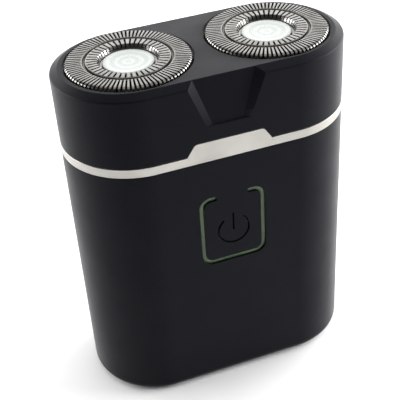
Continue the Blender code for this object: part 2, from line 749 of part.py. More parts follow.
def cutter(side, x):
    plate_low = CUTTER_TOP - CUTTER_PLATE
    profile = [
        (0.0, CUTTER_TOP),
        (CUTTER_RADIUS, CUTTER_TOP),
        (CUTTER_RADIUS, plate_low),
        (CUTTER_HUB_RADIUS, plate_low),
        (CUTTER_HUB_RADIUS, CUTTER_HUB_LOW),
        (0.0, CUTTER_HUB_LOW),
    ]
    body = turned("cutter_" + side, profile, x, steps=30)
    for index in range(BLADE_COUNT):
        angle = 2 * math.pi * index / BLADE_COUNT
        name = "blade_%s_%d" % (side, index)
        inner = OUTER_TRACK_INNER + FOIL_SHEET + TOUCH
        join(body, blade(name + "_outer", inner, CUTTER_RADIUS - TOUCH, angle, x))
        inner = WELL_RADIUS + FOIL_SHEET + TOUCH
        outer = INNER_TRACK_OUTER - FOIL_SHEET
        join(body, blade(name + "_inner", inner, outer, angle, x))
    flats = SPINDLE_TIP_FLATS + 2 * TOUCH
    low = CUTTER_HUB_LOW - BEYOND
    socket = slab("drive_socket_" + side, [hexagon(flats)], low, SOCKET_TOP, (x, 0.0))
    cut(body, socket)
    finish(body, CUTTER_STEEL)


def bracket_outline():
    """Two rings joined by a web that laps onto both."""
    half = FOIL_X - FLANGE_RADIUS + BRACKET_WEB_LAP
    reach = COLLAR_INNER
    meet = math.degrees(math.acos((half - FOIL_X) / FLANGE_RADIUS))
    right = arc(FOIL_X, 0.0, FLANGE_RADIUS, meet, -meet, 22)
    left = [(-x, -y) for x, y in right]
    return [(half, reach)] + right + [(half, -reach), (-half, -reach)] + left + [(-half, reach)]


def cutter_bracket():
    outlines = [bracket_outline(), circle(STUD_RADIUS + TOUCH, 16)]
    hub_inner = CUTTER_HUB_RADIUS + BRACKET_HUB_GAP
    hub_outer = hub_inner + BRACKET_HUB_RING
    window = FOIL_RADIUS - BRACKET_RING_OVERLAP
    for x in SIDES.values():
        outlines.append(circle(hub_inner, 16, x))
        for spoke in range(SPOKE_COUNT):
            outlines.append(spoke_window(spoke, hub_outer, window, x))
    bracket = slab("cutter_bracket", outlines, BRACKET_LOW, BRACKET_TOP)
    finish(bracket, DARK_PLASTIC)


def spoke_window(spoke, inner, outer, x):
    """The window between one spoke and the next. A spoke has its width half way out."""
    turn = 360.0 / SPOKE_COUNT
    first = 90.0 + turn * spoke
    half = math.degrees(math.asin(SPOKE_WIDTH / (inner + outer)))
    return sector(inner, outer, first + half, first + turn - half, x)


def lock_knob():
    knob = cylinder("lock_knob", KNOB_RADIUS, KNOB_LOW, KNOB_TOP, steps=28)
    half = KNOB_RADIUS - WING_INSET
    wing_low = (-half, -WING_THICKNESS / 2, KNOB_LOW - WING_HEIGHT)
    wing = box("knob_wing", wing_low, (half, WING_THICKNESS / 2, KNOB_LOW + EMBED))
    floor = KNOB_LOW + KNOB_CAP
    bore = cylinder("knob_bore", STUD_RADIUS + TOUCH, floor, KNOB_TOP + BEYOND, steps=16)
    join(knob, wing)
    cut(knob, bore)
    finish(knob, GREY_PLASTIC)


def magnets():
    """Two pairs of round magnets, which meet face to face when the head is on."""
    for place, y in (("front", -MAGNET_Y), ("back", MAGNET_Y)):
        low = HEAD_MAGNET_LOW
        upper = cylinder("head_magnet_" + place, MAGNET_RADIUS, low, BRACKET_LOW - TOUCH, 0.0, y, 20)
        finish(upper, BRIGHT_METAL)
        low = PILLAR_TOP - MAGNET_THICKNESS
        lower = cylinder("deck_magnet_" + place, MAGNET_RADIUS, low, PILLAR_TOP, 0.0, y, 20)
        finish(lower, BRIGHT_METAL)


# ---------------------------------------------------------------- drive deck and gears
def drive_deck():
    low = DECK_LOW - COLLAR_SKIRT
    outlines = [stadium(COLLAR_INSET), stadium(COLLAR_INSET + COLLAR_WALL)]
    deck = slab("drive_deck", outlines, low, COLLAR_TOP)
    join(deck, slab("deck_plate", [stadium(COLLAR_INSET + TOUCH)], DECK_LOW, DECK_TOP))
    for side, x in SIDES.items():
        foot = DECK_LOW + TOUCH
        join(deck, cylinder("seal_boss_" + side, SEAL_BOSS_RADIUS, foot, SEAL_BOSS_TOP, x, steps=20))
        pocket = SEAL_RADIUS + TOUCH
        high = SEAL_BOSS_TOP + BEYOND
        cut(deck, cylinder("seal_pocket_" + side, pocket, DECK_TOP, high, x, steps=20))
        under = DECK_LOW - BEYOND
        cut(deck, cylinder("hub_hole_" + side, HUB_HOLE_RADIUS, under, high, x, steps=20))
    floor = PILLAR_TOP - MAGNET_THICKNESS - TOUCH
    for place, y in (("front", -MAGNET_Y), ("back", MAGNET_Y)):
        join(deck, cylinder("pillar_" + place, PILLAR_RADIUS, DECK_LOW + TOUCH, PILLAR_TOP, 0.0, y, 16))
        pocket = MAGNET_RADIUS + TOUCH
        high = PILLAR_TOP + BEYOND
        cut(deck, cylinder("pillar_pocket_" + place, pocket, floor, high, 0.0, y, 16))
    for index, (x, y) in enumerate(post_places()):
        foot = GEAR_PLATE_TOP + TOUCH
        join(deck, cylinder("deck_post_%d" % index, POST_RADIUS, foot, DECK_LOW + TOUCH, x, y, 12))
        bore = SCREW_RADIUS + TOUCH
        cut(deck, cylinder("post_bore_%d" % index, bore, foot - BEYOND, DECK_LOW, x, y, 8))
    finish(deck, DARK_PLASTIC)


def post_places():
    return [(x, y) for x in (-POST_X, POST_X) for y in (-POST_Y, POST_Y)]


def shaft_seal(side, x):
    inner = HUB_FLATS / math.sqrt(3.0) + TOUCH
    top = SEAL_LOW + SEAL_THICKNESS
    profile = [
        (inner, top - SEAL_LIP),
        (inner + SEAL_LIP, top),
        (SEAL_RADIUS, top),
        (SEAL_RADIUS, SEAL_LOW),
        (inner, SEAL_LOW),
    ]
    finish(turned("shaft_seal_" + side, profile, x, steps=18, ring=True), SEAL_RUBBER)


def gear_bracket():
    pin_hole = PIN_RADIUS + TOUCH
    inset = WALL + GUIDE_FLANGE + 2 * TOUCH
    outlines = [stadium(inset), circle(MOTOR_BOSS_RADIUS + TOUCH, 24)]
    outlines += [circle(pin_hole, 12, x) for x in SIDES.values()]
    outlines += [circle(SCREW_RADIUS + TOUCH, 8, x, y) for x, y in post_places()]
    finish(slab("gear_bracket", outlines, GEAR_PLATE_LOW, GEAR_PLATE_TOP), DARK_PLASTIC)


def screw_profile(head_low, head_top, tip):
    """A pan-head screw upside down: the head is below and the shank points up."""
    return [
        (0.0, tip),
        (SCREW_RADIUS, tip - SCREW_TIP),
        (SCREW_RADIUS, head_top),
        (SCREW_HEAD_RADIUS, head_top),
        (SCREW_HEAD_RADIUS, head_low + SCREW_HEAD_ROUND),
        (SCREW_HEAD_RADIUS - SCREW_HEAD_ROUND, head_low),
        (0.0, head_low),
    ]


def bracket_screws():
    top = GEAR_PLATE_LOW - TOUCH
    profile = screw_profile(top - SCREW_HEAD, top, DECK_LOW - 2 * TOUCH)
    for index, (x, y) in enumerate(post_places()):
        finish(turned("bracket_screw_%d" % (index + 1), profile, x, y, 10), BRIGHT_METAL)


def axle_pin(side, x):
    low = GEAR_PLATE_LOW - PIN_BELOW_PLATE
    profile = [
        (0.0, PIN_TOP),
        (PIN_RADIUS - PIN_EDGE, PIN_TOP),
        (PIN_RADIUS, PIN_TOP - PIN_EDGE),
        (PIN_RADIUS, low),
        (0.0, low),
    ]
    finish(turned("axle_pin_" + side, profile, x, steps=16), BRIGHT_METAL)


def drive_gear(side, x):
    """A driven gear with its hexagonal hub. A gap between teeth faces a tooth of the pinion."""
    pinion_tooth_here = side == "right" or PINION_TEETH % 2 == 0
    towards_pinion = math.pi if side == "right" else 0.0
    first = towards_pinion + (math.pi / GEAR_TEETH if pinion_tooth_here else 0.0)
    gear = slab("drive_gear_" + side, [gear_outline(GEAR_TEETH, first)], GEAR_LOW, GEAR_TOP, (x, 0.0))
    hub_low = GEAR_PLATE_TOP + TOUCH
    hub = slab("gear_hub_" + side, [hexagon(HUB_FLATS)], hub_low, GEAR_HUB_TOP, (x, 0.0))
    bore = PIN_RADIUS + RUNNING
    high = GEAR_HUB_TOP + BEYOND
    join(gear, hub)
    cut(gear, cylinder("gear_bore_" + side, bore, hub_low - BEYOND, high, x, steps=16))
    finish(gear, WHITE_NYLON)


def spindle(side, x):
    body = cylinder("spindle_" + side, SPINDLE_RADIUS, SPINDLE_LOW, SPINDLE_SHOULDER, x, steps=24)
    tip_low = SPINDLE_SHOULDER - TOUCH
    tip = slab("spindle_tip_" + side, [hexagon(SPINDLE_TIP_FLATS)], tip_low, SPINDLE_TIP, (x, 0.0))
    bore_outline = hexagon(HUB_FLATS + 2 * TOUCH)
    low = SPINDLE_LOW - BEYOND
    bore = slab("spindle_bore_" + side, [bore_outline], low, SPINDLE_CEILING_Z, (x, 0.0))
    join(body, tip)
    cut(body, bore)
    finish(body, GREY_PLASTIC)


def tube(name, points, radius, resolution=2):
    curve = bpy.data.curves.new(name, "CURVE")
    curve.dimensions = "3D"
    curve.bevel_depth = radius
    curve.bevel_resolution = resolution
    curve.use_fill_caps = True
    spline = curve.splines.new("POLY")
    spline.points.add(len(points) - 1)
    for point, place in zip(spline.points, points):
        point.co = (*place, 1.0)
    return new_object(name, mesh_from_curve(curve))


def spindle_spring(side, x):
    low = GEAR_HUB_TOP + TOUCH + SPRING_WIRE
    high = SPINDLE_CEILING_Z - TOUCH - SPRING_WIRE
    per_turn = 9
    points = []
    for index in range(SPRING_TURNS * per_turn + 1):
        angle = 2 * math.pi * index / per_turn
        height = low + (high - low) * index / (SPRING_TURNS * per_turn)
        points.append((SPRING_RADIUS * math.cos(angle), SPRING_RADIUS * math.sin(angle), height))
    spring = tube("spindle_spring_" + side, points, SPRING_WIRE, 1)
    spring.location = (x, 0.0, 0.0)
    finish(spring, BRIGHT_METAL)


# ---------------------------------------------------------------- motor
def motor():
    outline = clipped_circle(MOTOR_RADIUS, MOTOR_HALF_DEPTH)
    can = slab("motor_can", [outline], MOTOR_LOW, MOTOR_TOP)
    round_edges(can, MOTOR_EDGE, 2, lambda point: point.z > MOTOR_TOP - EMBED)
    boss_top = MOTOR_TOP + MOTOR_BOSS_HEIGHT
    join(can, cylinder("motor_boss", MOTOR_BOSS_RADIUS, MOTOR_TOP - EMBED, boss_top))
    bore_low = MOTOR_TOP - SHAFT_DEPTH
    cut(can, cylinder("motor_bore", SHAFT_RADIUS + RUNNING, bore_low, boss_top + BEYOND, steps=16))
    finish(can, MOTOR_STEEL)
    small = clipped_circle(MOTOR_RADIUS - END_CAP_INSET, MOTOR_HALF_DEPTH - END_CAP_INSET)
    high = MOTOR_LOW - TOUCH
    finish(slab("motor_end_cap", [small], high - END_CAP_HEIGHT, high), WHITE_NYLON)
    shaft_top = GEAR_TOP + SHAFT_ABOVE_GEAR
    shaft = cylinder("motor_shaft", SHAFT_RADIUS, bore_low + TOUCH, shaft_top, steps=16)
    finish(shaft, BRIGHT_METAL)
    outlines = [gear_outline(PINION_TEETH, 0.0), circle(SHAFT_RADIUS + TOUCH, 16)]
    finish(slab("pinion", outlines, GEAR_LOW, GEAR_TOP), BRASS)


# ---------------------------------------------------------------- power button
def button_slot(from_edge, to_edge, end_gap):
    """The open-top path round the button in (x, z), between two distances from its outer edge."""
    middle = (BUTTON_LOW + BUTTON_TOP) / 2

    def loop(inset):
        half_x = BUTTON_WIDTH / 2 - inset
        half_z = BUTTON_HEIGHT / 2 - inset
        radius = max(BUTTON_CORNER - inset, TOUCH)
        across = half_x - radius
        up = half_z - radius
        start = NECK_WIDTH / 2 + end_gap
        points = [(start, middle + half_z)]
        points += arc(across, middle + up, radius, 90.0, 0.0, 4)
        points += arc(across, middle - up, radius, 0.0, -90.0, 4)
        points += arc(-across, middle - up, radius, -90.0, -180.0, 4)
        points += arc(-across, middle + up, radius, 180.0, 90.0, 4)
        return points + [(-start, middle + half_z)]

    return loop(from_edge) + list(reversed(loop(to_edge)))


def power_button():
    """The flap inside the slot, with its neck at the top and a post for the switch."""
    middle = (BUTTON_LOW + BUTTON_TOP) / 2
    half_x = BUTTON_WIDTH / 2 - SLOT_WIDTH
    half_z = BUTTON_HEIGHT / 2 - SLOT_WIDTH
    radius = BUTTON_CORNER - SLOT_WIDTH
    neck = NECK_WIDTH / 2
    neck_top = BUTTON_TOP - TOUCH
    outline = arc(half_x - radius, middle - half_z + radius, radius, -90.0, 0.0, 4)
    outline += arc(half_x - radius, middle + half_z - radius, radius, 0.0, 90.0, 4)
    outline += [(neck, middle + half_z), (neck, neck_top), (-neck, neck_top), (-neck, middle + half_z)]
    outline += arc(-half_x + radius, middle + half_z - radius, radius, 90.0, 180.0, 4)
    outline += arc(-half_x + radius, middle - half_z + radius, radius, 180.0, 270.0, 4)
    flap = slab("power_button", [outline], FRONT, FRONT + WALL, facing="Y")
    post_low = FRONT + WALL - TOUCH
    post_high = FRONT + WALL + BUTTON_POST_LENGTH
    post = cylinder("button_post", BUTTON_POST_RADIUS, post_low, post_high, 0.0, SWITCH_Z, 16, "Y")
    join(flap, post)
    move_origin(flap, (0.0, FRONT + HINGE_DEPTH, BUTTON_TOP))
    finish(flap, SOFT_BLACK)


def light_guide():
    """A clear rib that stands in the slot, on a flange behind the wall."""
    back = FRONT + WALL + TOUCH
    rib = button_slot(TOUCH, SLOT_WIDTH - TOUCH, TOUCH)
    guide = slab("light_guide", [rib], FRONT + GUIDE_RECESS, back + GUIDE_FLANGE / 2, facing="Y")
    flange = button_slot(TOUCH - GUIDE_FLANGE_WIDTH, SLOT_WIDTH - TOUCH, 2 * TOUCH)
    join(guide, slab("guide_flange", [flange], back, back + GUIDE_FLANGE, facing="Y"))
    finish(guide, GREEN_GUIDE)


# ---------------------------------------------------------------- boards and switch
def board_holes():
    low = BOARD_FOOT + BOARD_HOLE_INSET
    high = BOARD_TOP - BOARD_HOLE_INSET
    return [(BOARD_HOLE_X, low), (BOARD_HOLE_X, high)]


def control_board():
    middle = (BOARD_FOOT + BOARD_TOP) / 2
    height = BOARD_TOP - BOARD_FOOT
    outlines = [rounded_rectangle(BOARD_WIDTH, height, BOARD_CORNER, 0.0, middle, 2)]
    outlines += [circle(SCREW_RADIUS + TOUCH, 12, x, z) for x, z in board_holes()]
    board = slab("control_board", outlines, BOARD_FRONT, BOARD_BACK, facing="Y")
    finish(board, BOARD_GREEN)


def board_screws():
    head_back = BOARD_FRONT - TOUCH
    shank_end = BOARD_BACK + BOARD_SCREW_REACH
    for index, (x, z) in enumerate(board_holes()):
        name = "board_screw_%d" % (index + 1)
        head_front = head_back - SCREW_HEAD
        head = cylinder(name, SCREW_HEAD_RADIUS, head_front, head_back, x, z, 16, "Y")
        shank_front = head_back - TOUCH
        shank = cylinder(name + "_shank", SCREW_RADIUS, shank_front, shank_end, x, z, 12, "Y")
        join(head, shank)
        finish(head, BRIGHT_METAL)


def tact_switch():
    back = BOARD_FRONT - TOUCH
    front = back - SWITCH_THICKNESS
    half = SWITCH_SIDE / 2
    body = box("tact_switch", (-half, front, SWITCH_Z - half), (half, back, SWITCH_Z + half))
    plunger_front = FRONT + WALL + BUTTON_POST_LENGTH + TOUCH
    plunger_back = plunger_front + PLUNGER_LENGTH
    well = plunger_back + PLUNGER_TRAVEL + RUNNING
    bore = PLUNGER_RADIUS + TOUCH
    floor = min(well, back - TOUCH)
    cut(body, cylinder("switch_bore", bore, front - BEYOND, floor, 0.0, SWITCH_Z, 16, "Y"))
    finish(body, GREY_PLASTIC)
    plunger = cylinder(
        "switch_plunger", PLUNGER_RADIUS, plunger_front, plunger_back, 0.0, SWITCH_Z, 16, "Y"
    )
    finish(plunger, DARK_PLASTIC)


def indicator_leds():
    back = BOARD_FRONT - TOUCH
    height = (BUTTON_LOW + BUTTON_TOP) / 2
    for side, sign in (("left", -1.0), ("right", 1.0)):
        x = sign * (BUTTON_WIDTH / 2 + LED_BESIDE_BUTTON)
        low = (x - LED_WIDTH / 2, back - LED_THICKNESS, height - LED_HEIGHT / 2)
        high = (x + LED_WIDTH / 2, back, height + LED_HEIGHT / 2)
        light = box("indicator_led_" + side, low, high)
        finish(light, PALE_DISC)


# ---------------------------------------------------------------- chassis, battery and socket
def chassis():
    back = CHASSIS_FRONT + CHASSIS_THICKNESS
    low = BASE_WALL + CHASSIS_ABOVE_FLOOR
    plate = box("chassis", (-CHASSIS_HALF, CHASSIS_FRONT, low), (CHASSIS_HALF, back, BOARD_TOP))
    for index, (x, z) in enumerate(board_holes()):
        front = BOARD_BACK + TOUCH
        name = "board_post_%d" % index
        post = cylinder(name, BOARD_POST_RADIUS, front, back - TOUCH, x, z, 20, "Y")
        bore = SCREW_RADIUS + RUNNING
        bore_end = BOARD_BACK + BOARD_SCREW_REACH + 2 * TOUCH
        join(plate, post)
        cut(plate, cylinder(name + "_bore", bore, front - BEYOND, bore_end, x, z, 12, "Y"))
    for index, share in enumerate(CRADLE_SHARES):
        foot = BATTERY_FOOT + BATTERY_LENGTH * share - CRADLE_HEIGHT / 2
        join(plate, battery_cradle(index, foot))
    shelf_top = CHARGE_BOARD_LOW - TOUCH
    shelf_low = (-SHELF_WIDTH / 2, CHARGE_BOARD_DEPTH / 2 - SHELF_LAP, shelf_top - CHASSIS_THICKNESS)
    join(plate, box("charge_shelf", shelf_low, (SHELF_WIDTH / 2, back - TOUCH, shelf_top)))
    finish(plate, WHITE_NYLON)


def battery_cradle(index, foot):
    """A saddle that wraps the back of the cell and runs into the chassis plate."""
    inner = BATTERY_RADIUS + TOUCH
    outer = inner + CRADLE_THICKNESS
    outline = arc(0.0, 0.0, outer, 10.0, 170.0, 12) + arc(0.0, 0.0, inner, 170.0, 10.0, 12)
    place = (BATTERY_X, 0.0)
    saddle = slab("cradle_%d" % index, [outline], foot, foot + CRADLE_HEIGHT, place)
    reach = CHASSIS_FRONT + CHASSIS_THICKNESS / 2
    root_low = (BATTERY_X - CRADLE_ROOT / 2, outer - CRADLE_THICKNESS / 2, foot)
    root_high = (BATTERY_X + CRADLE_ROOT / 2, reach, foot + CRADLE_HEIGHT)
    join(saddle, box("cradle_root_%d" % index, root_low, root_high))
    return saddle


def battery_cell():
    top = BATTERY_FOOT + BATTERY_LENGTH
    ease = BATTERY_EDGE
    profile = [
        (0.0, top + BATTERY_NUB_HEIGHT),
        (BATTERY_NUB_RADIUS, top + BATTERY_NUB_HEIGHT),
        (BATTERY_NUB_RADIUS, top),
        (BATTERY_RADIUS - ease, top),
        (BATTERY_RADIUS, top - ease),
        (BATTERY_RADIUS, BATTERY_FOOT + ease),
        (BATTERY_RADIUS - ease, BATTERY_FOOT),
        (0.0, BATTERY_FOOT),
    ]
    finish(turned("battery_cell", profile, BATTERY_X, steps=28), CELL_WRAP)


def charging_socket():
    high = SOCKET_INSET + SOCKET_LENGTH
    outlines = [port_outline(0.0), port_outline(-SOCKET_SHEET)]
    finish(slab("charging_socket", outlines, SOCKET_INSET, high), BRIGHT_METAL)
    block = SOCKET_HEIGHT / 2 - SOCKET_SHEET - TOUCH
    half = TONGUE_WIDTH / 2
    tongue = box("socket_tongue", (-half, -block, high - TONGUE_BLOCK), (half, block, high))
    thin = TONGUE_THICKNESS / 2
    blade_low = (-half + TOUCH, -thin, SOCKET_INSET + TONGUE_SINK)
    blade_high = (half - TOUCH, thin, high - TONGUE_BLOCK + EMBED)
    join(tongue, box("tongue_blade", blade_low, blade_high))
    finish(tongue, DARK_PLASTIC)


def port_gasket():
    low = BASE_WALL + TOUCH
    outlines = [port_outline(TOUCH + GASKET_WALL), port_outline(TOUCH)]
    finish(slab("port_gasket", outlines, low, low + GASKET_HEIGHT), SEAL_RUBBER)


def charge_board():
    outline = rounded_rectangle(CHARGE_BOARD_WIDTH, CHARGE_BOARD_DEPTH, BOARD_CORNER, steps=2)
    high = CHARGE_BOARD_LOW + BOARD_THICKNESS
    finish(slab("charge_board", [outline], CHARGE_BOARD_LOW, high), BOARD_GREEN)


def lead_pair(name, routes):
    """The red and the black wire of one pair."""
    finish(tube(name + "_plus", routes[0], LEAD_RADIUS), RED_WIRE)
    finish(tube(name + "_minus", routes[1], LEAD_RADIUS), BLACK_WIRE)


def leads():
    """Wires from the motor's end cap and from the cell's foot to the back of the control board."""
    board = BOARD_BACK + TOUCH + LEAD_RADIUS
    under = MOTOR_LOW - 2 * TOUCH - END_CAP_HEIGHT - LEAD_RADIUS
    pairs = []
    for side in (-1.0, 1.0):
        x = side * 3.0 * MM
        pairs.append(
            [
                (x, -MOTOR_HALF_DEPTH * 0.4, under),
                (x, -MOTOR_HALF_DEPTH * 0.55, under - 1.0 * MM),
                (x * 1.2, board + 0.9 * MM, under - 1.8 * MM),
                (x * 1.3, board, under - 3.2 * MM),
                (x * 1.3, board, under - 6.0 * MM),
            ]
        )
    lead_pair("motor_lead", pairs)
    high = BATTERY_FOOT - 2 * TOUCH - LEAD_RADIUS
    wires = []
    for shift in (0.0, 1.6 * MM):
        x = BATTERY_X + BATTERY_RADIUS * 0.6 + shift
        wires.append(
            [
                (x - 1.5 * MM, -BATTERY_RADIUS * 0.3, high),
                (x, -BATTERY_RADIUS * 0.6, high - 0.1 * MM),
                (x + 1.0 * MM, board + 0.8 * MM, high + 0.6 * MM),
                (x + 1.4 * MM, board, high + 2.2 * MM),
                (x + 1.4 * MM, board, high + 5.0 * MM),
            ]
        )
    lead_pair("battery_lead", wires)


# ---------------------------------------------------------------- build
clear_scene()
PARTS = new_collection("electric_shaver")
CUTTERS = new_collection("cutters")

SOFT_BLACK = make_material("soft_black", (0.012, 0.012, 0.014), 0.55)
SATIN_SILVER = make_material("satin_silver", (0.68, 0.66, 0.63), 0.35, 1.0)
STEEL_FOIL = make_material("steel_foil", (0.62, 0.61, 0.60), 0.28, 1.0)
CUTTER_STEEL = make_material("cutter_steel", (0.45, 0.45, 0.46), 0.35, 1.0)
PALE_DISC = make_material("pale_disc", (0.82, 0.84, 0.82), 0.3, 0.3)
GREEN_GUIDE = make_material("green_guide", (0.04, 0.12, 0.03), 0.3)
DARK_PLASTIC = make_material("dark_plastic", (0.03, 0.03, 0.032), 0.5)
GREY_PLASTIC = make_material("grey_plastic", (0.16, 0.16, 0.17), 0.45)
WHITE_NYLON = make_material("white_nylon", (0.75, 0.74, 0.70), 0.45)
BRIGHT_METAL = make_material("bright_metal", (0.66, 0.66, 0.67), 0.25, 1.0)
MOTOR_STEEL = make_material("motor_steel", (0.5, 0.5, 0.52), 0.38, 1.0)
BRASS = make_material("brass", (0.66, 0.48, 0.2), 0.35, 1.0)
SEAL_RUBBER = make_material("seal_rubber", (0.02, 0.02, 0.02), 0.8)
BOARD_GREEN = make_material("board_green", (0.01, 0.1, 0.04), 0.4)
CELL_WRAP = make_material("cell_wrap", (0.05, 0.2, 0.4), 0.35)
RED_WIRE = make_material("red_wire", (0.5, 0.03, 0.02), 0.5)
BLACK_WIRE = make_material("black_wire", (0.02, 0.02, 0.02), 0.5)

main_housing()
silver_band()
drive_deck()
gear_bracket()
bracket_screws()
motor()
control_board()
board_screws()
tact_switch()
indicator_leds()
power_button()
light_guide()
chassis()
battery_cell()
charging_socket()
port_gasket()
charge_board()
leads()
head_frame()
cutter_bracket()
lock_knob()
magnets()
for which, centre in SIDES.items():
    shaft_seal(which, centre)
    axle_pin(which, centre)
    drive_gear(which, centre)
    spindle(which, centre)
    spindle_spring(which, centre)
    cutter(which, centre)
    foil(which, centre)
    foil_disc(which, centre)
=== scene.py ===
"""Looks of the two-head rotary travel shaver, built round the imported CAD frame.

Every size is in metres, in the CAD's frame: +Z up, the power button on the -Y side, the long side
along X. The housing, button, light guide, band, head, foils, discs and spindle springs are made
again here as fine meshes. Every other piece is a copy of its CAD node with softened edges.
"""

import json
import math

import bmesh
import bpy
from mathutils import Matrix, Vector

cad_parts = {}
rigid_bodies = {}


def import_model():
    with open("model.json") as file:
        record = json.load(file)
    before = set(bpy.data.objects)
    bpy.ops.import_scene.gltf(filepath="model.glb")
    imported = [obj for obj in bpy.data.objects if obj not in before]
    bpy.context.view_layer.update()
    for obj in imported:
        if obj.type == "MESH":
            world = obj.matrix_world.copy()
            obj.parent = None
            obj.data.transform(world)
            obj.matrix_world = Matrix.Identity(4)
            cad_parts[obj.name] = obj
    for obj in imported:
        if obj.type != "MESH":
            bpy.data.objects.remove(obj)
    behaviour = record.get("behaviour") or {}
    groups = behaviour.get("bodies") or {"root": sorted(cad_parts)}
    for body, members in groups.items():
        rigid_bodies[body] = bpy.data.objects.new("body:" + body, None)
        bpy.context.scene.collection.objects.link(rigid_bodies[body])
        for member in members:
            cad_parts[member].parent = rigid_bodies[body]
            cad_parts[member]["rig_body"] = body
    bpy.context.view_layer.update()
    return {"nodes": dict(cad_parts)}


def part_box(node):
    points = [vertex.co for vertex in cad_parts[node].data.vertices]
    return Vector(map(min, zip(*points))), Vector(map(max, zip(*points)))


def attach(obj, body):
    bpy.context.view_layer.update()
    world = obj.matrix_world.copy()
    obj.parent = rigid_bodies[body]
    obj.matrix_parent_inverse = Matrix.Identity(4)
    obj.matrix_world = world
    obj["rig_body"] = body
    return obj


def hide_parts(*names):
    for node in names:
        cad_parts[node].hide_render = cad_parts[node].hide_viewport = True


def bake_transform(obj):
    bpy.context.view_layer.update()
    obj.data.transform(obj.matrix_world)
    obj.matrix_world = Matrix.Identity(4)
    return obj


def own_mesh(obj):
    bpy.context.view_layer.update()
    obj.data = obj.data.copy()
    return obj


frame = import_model()

MM = 0.001

# ---- places read from the frame
HOUSING_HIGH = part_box("main_housing")[1]
HALF_WIDTH = HOUSING_HIGH.x
HALF_DEPTH = HOUSING_HIGH.y
FRONT = -HALF_DEPTH
HEAD_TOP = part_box("head_frame")[1].z
TAB_TOP_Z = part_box("silver_band")[1].z
BUTTON_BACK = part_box("power_button")[1].y
FOIL_LOW, FOIL_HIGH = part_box("foil_right")
FOIL_X = (FOIL_LOW.x + FOIL_HIGH.x) / 2
FLANGE_RADIUS = (FOIL_HIGH.x - FOIL_LOW.x) / 2
FOIL_CREST = FOIL_HIGH.z
FOIL_FOOT = FOIL_LOW.z
DISC_LOW, DISC_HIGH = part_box("foil_disc_right")
DISC_RADIUS = (DISC_HIGH.x - DISC_LOW.x) / 2
DISC_CREST = DISC_HIGH.z
DISC_FOOT = DISC_LOW.z

# ---- walls and seams
WALL = 1.6 * MM
SEAM = 0.09 * MM
SEAM_EDGE = 0.06 * MM

# ---- how far joined solids run into each other, and cutters past what they cut
EMBED = 0.3 * MM
OVERCUT = 1.0 * MM

# ---- how far off a point may be and still count as lying on an edge
CLOSE = 0.01 * MM
SLACK = 0.05 * MM

# ---- housing
BASE_WALL = 1.8 * MM
BASE_RADIUS = 2.4 * MM
PORT_WIDTH = 9.54 * MM
PORT_HEIGHT = 3.86 * MM
PORT_CORNER = PORT_HEIGHT / 2 - 0.02 * MM

# ---- silver band and its trapezoid tab
BAND_LOW = 58.7 * MM
BAND_TOP = 60.7 * MM
BAND_EDGE = 0.07 * MM
TAB_FOOT = 17.6 * MM
TAB_WIDTH = 14.3 * MM
TAB_CORNER = 1.0 * MM
TAB_THICKNESS = 1.2 * MM
TAB_ROOT = 0.5 * MM

# ---- power button and light guide
BUTTON_TOP = 50.0 * MM
BUTTON_WIDTH = 14.4 * MM
BUTTON_HEIGHT = 17.0 * MM
BUTTON_CORNER = 2.5 * MM
BUTTON_MIDDLE = BUTTON_TOP - BUTTON_HEIGHT / 2
SLOT_WIDTH = 1.05 * MM
SLOT_EDGE = 0.1 * MM
NECK_WIDTH = 6.8 * MM
NECK_STEPS = 4
NECK_CUT = 4.0 * MM
NECK_CUT_CORNER = 1.0 * MM
POST_RADIUS = 1.2 * MM
GUIDE_RECESS = 0.4 * MM
GUIDE_CLEAR = 0.08 * MM
GUIDE_EDGE = 0.12 * MM
GUIDE_FLANGE = 0.9 * MM

# ---- power symbol: a ring open at the top by twice the gap, in degrees, and a bar
ICON_Z = 40.9 * MM
ICON_RADIUS = 3.35 * MM
ICON_GAP = 42.0
ICON_BAR_HIGH = 44.8 * MM
ICON_STROKE = 0.24 * MM
ICON_DEPTH = 0.7 * MM
GROOVE_SIDES = 16
# A groove's round end: how far a loop stands from the path's end, and its size, both in radii.
GROOVE_ENDS = ((-0.85, 0.5), (-0.45, 0.88))

# ---- head cap, with the pad, rib and stud that hold the bracket inside it
ROOF_LOW = HEAD_TOP - 1.9 * MM
BEVEL_INSET = 1.7 * MM
BEVEL_DROP = 1.0 * MM
BEVEL_ROUNDING = 0.5 * MM
HOLE_RADIUS = 12.8 * MM
HOLE_EDGE = 0.16 * MM
HOLE_EDGE_BOW = 0.3
TAB_RECESS_HIGH = 64.0 * MM
PAD_WIDTH = 17.0 * MM
PAD_DEPTH = 1.7 * MM
PAD_CORNER = 0.2 * MM
PAD_INSET = 0.35 * MM
PAD_LOW = 67.7 * MM
PAD_EMBED = 0.5 * MM
RIB_WIDTH = 2.0 * MM
RIB_DEPTH = 6.0 * MM
RIB_CORNER = 0.3 * MM
RIB_LOW = 71.9 * MM
STUD_RADIUS = 0.9 * MM
STUD_LOW = 67.8 * MM
STUD_HIGH = 72.2 * MM

# ---- thumb notch: widths at the front and on its floor, at the top and at the foot
NOTCH_HEIGHT = 9.7 * MM
NOTCH_DEPTH_TOP = 1.65 * MM
NOTCH_DEPTH_FOOT = 0.4 * MM
NOTCH_TOP = 16.4 * MM
NOTCH_FOOT = 9.1 * MM
NOTCH_FLOOR_TOP = 12.6 * MM
NOTCH_FLOOR_FOOT = 6.3 * MM
NOTCH_PROUD = 0.5 * MM
NOTCH_STEPS = 24
NOTCH_EDGE = 0.14 * MM
NOTCH_ANGLE = 12.0

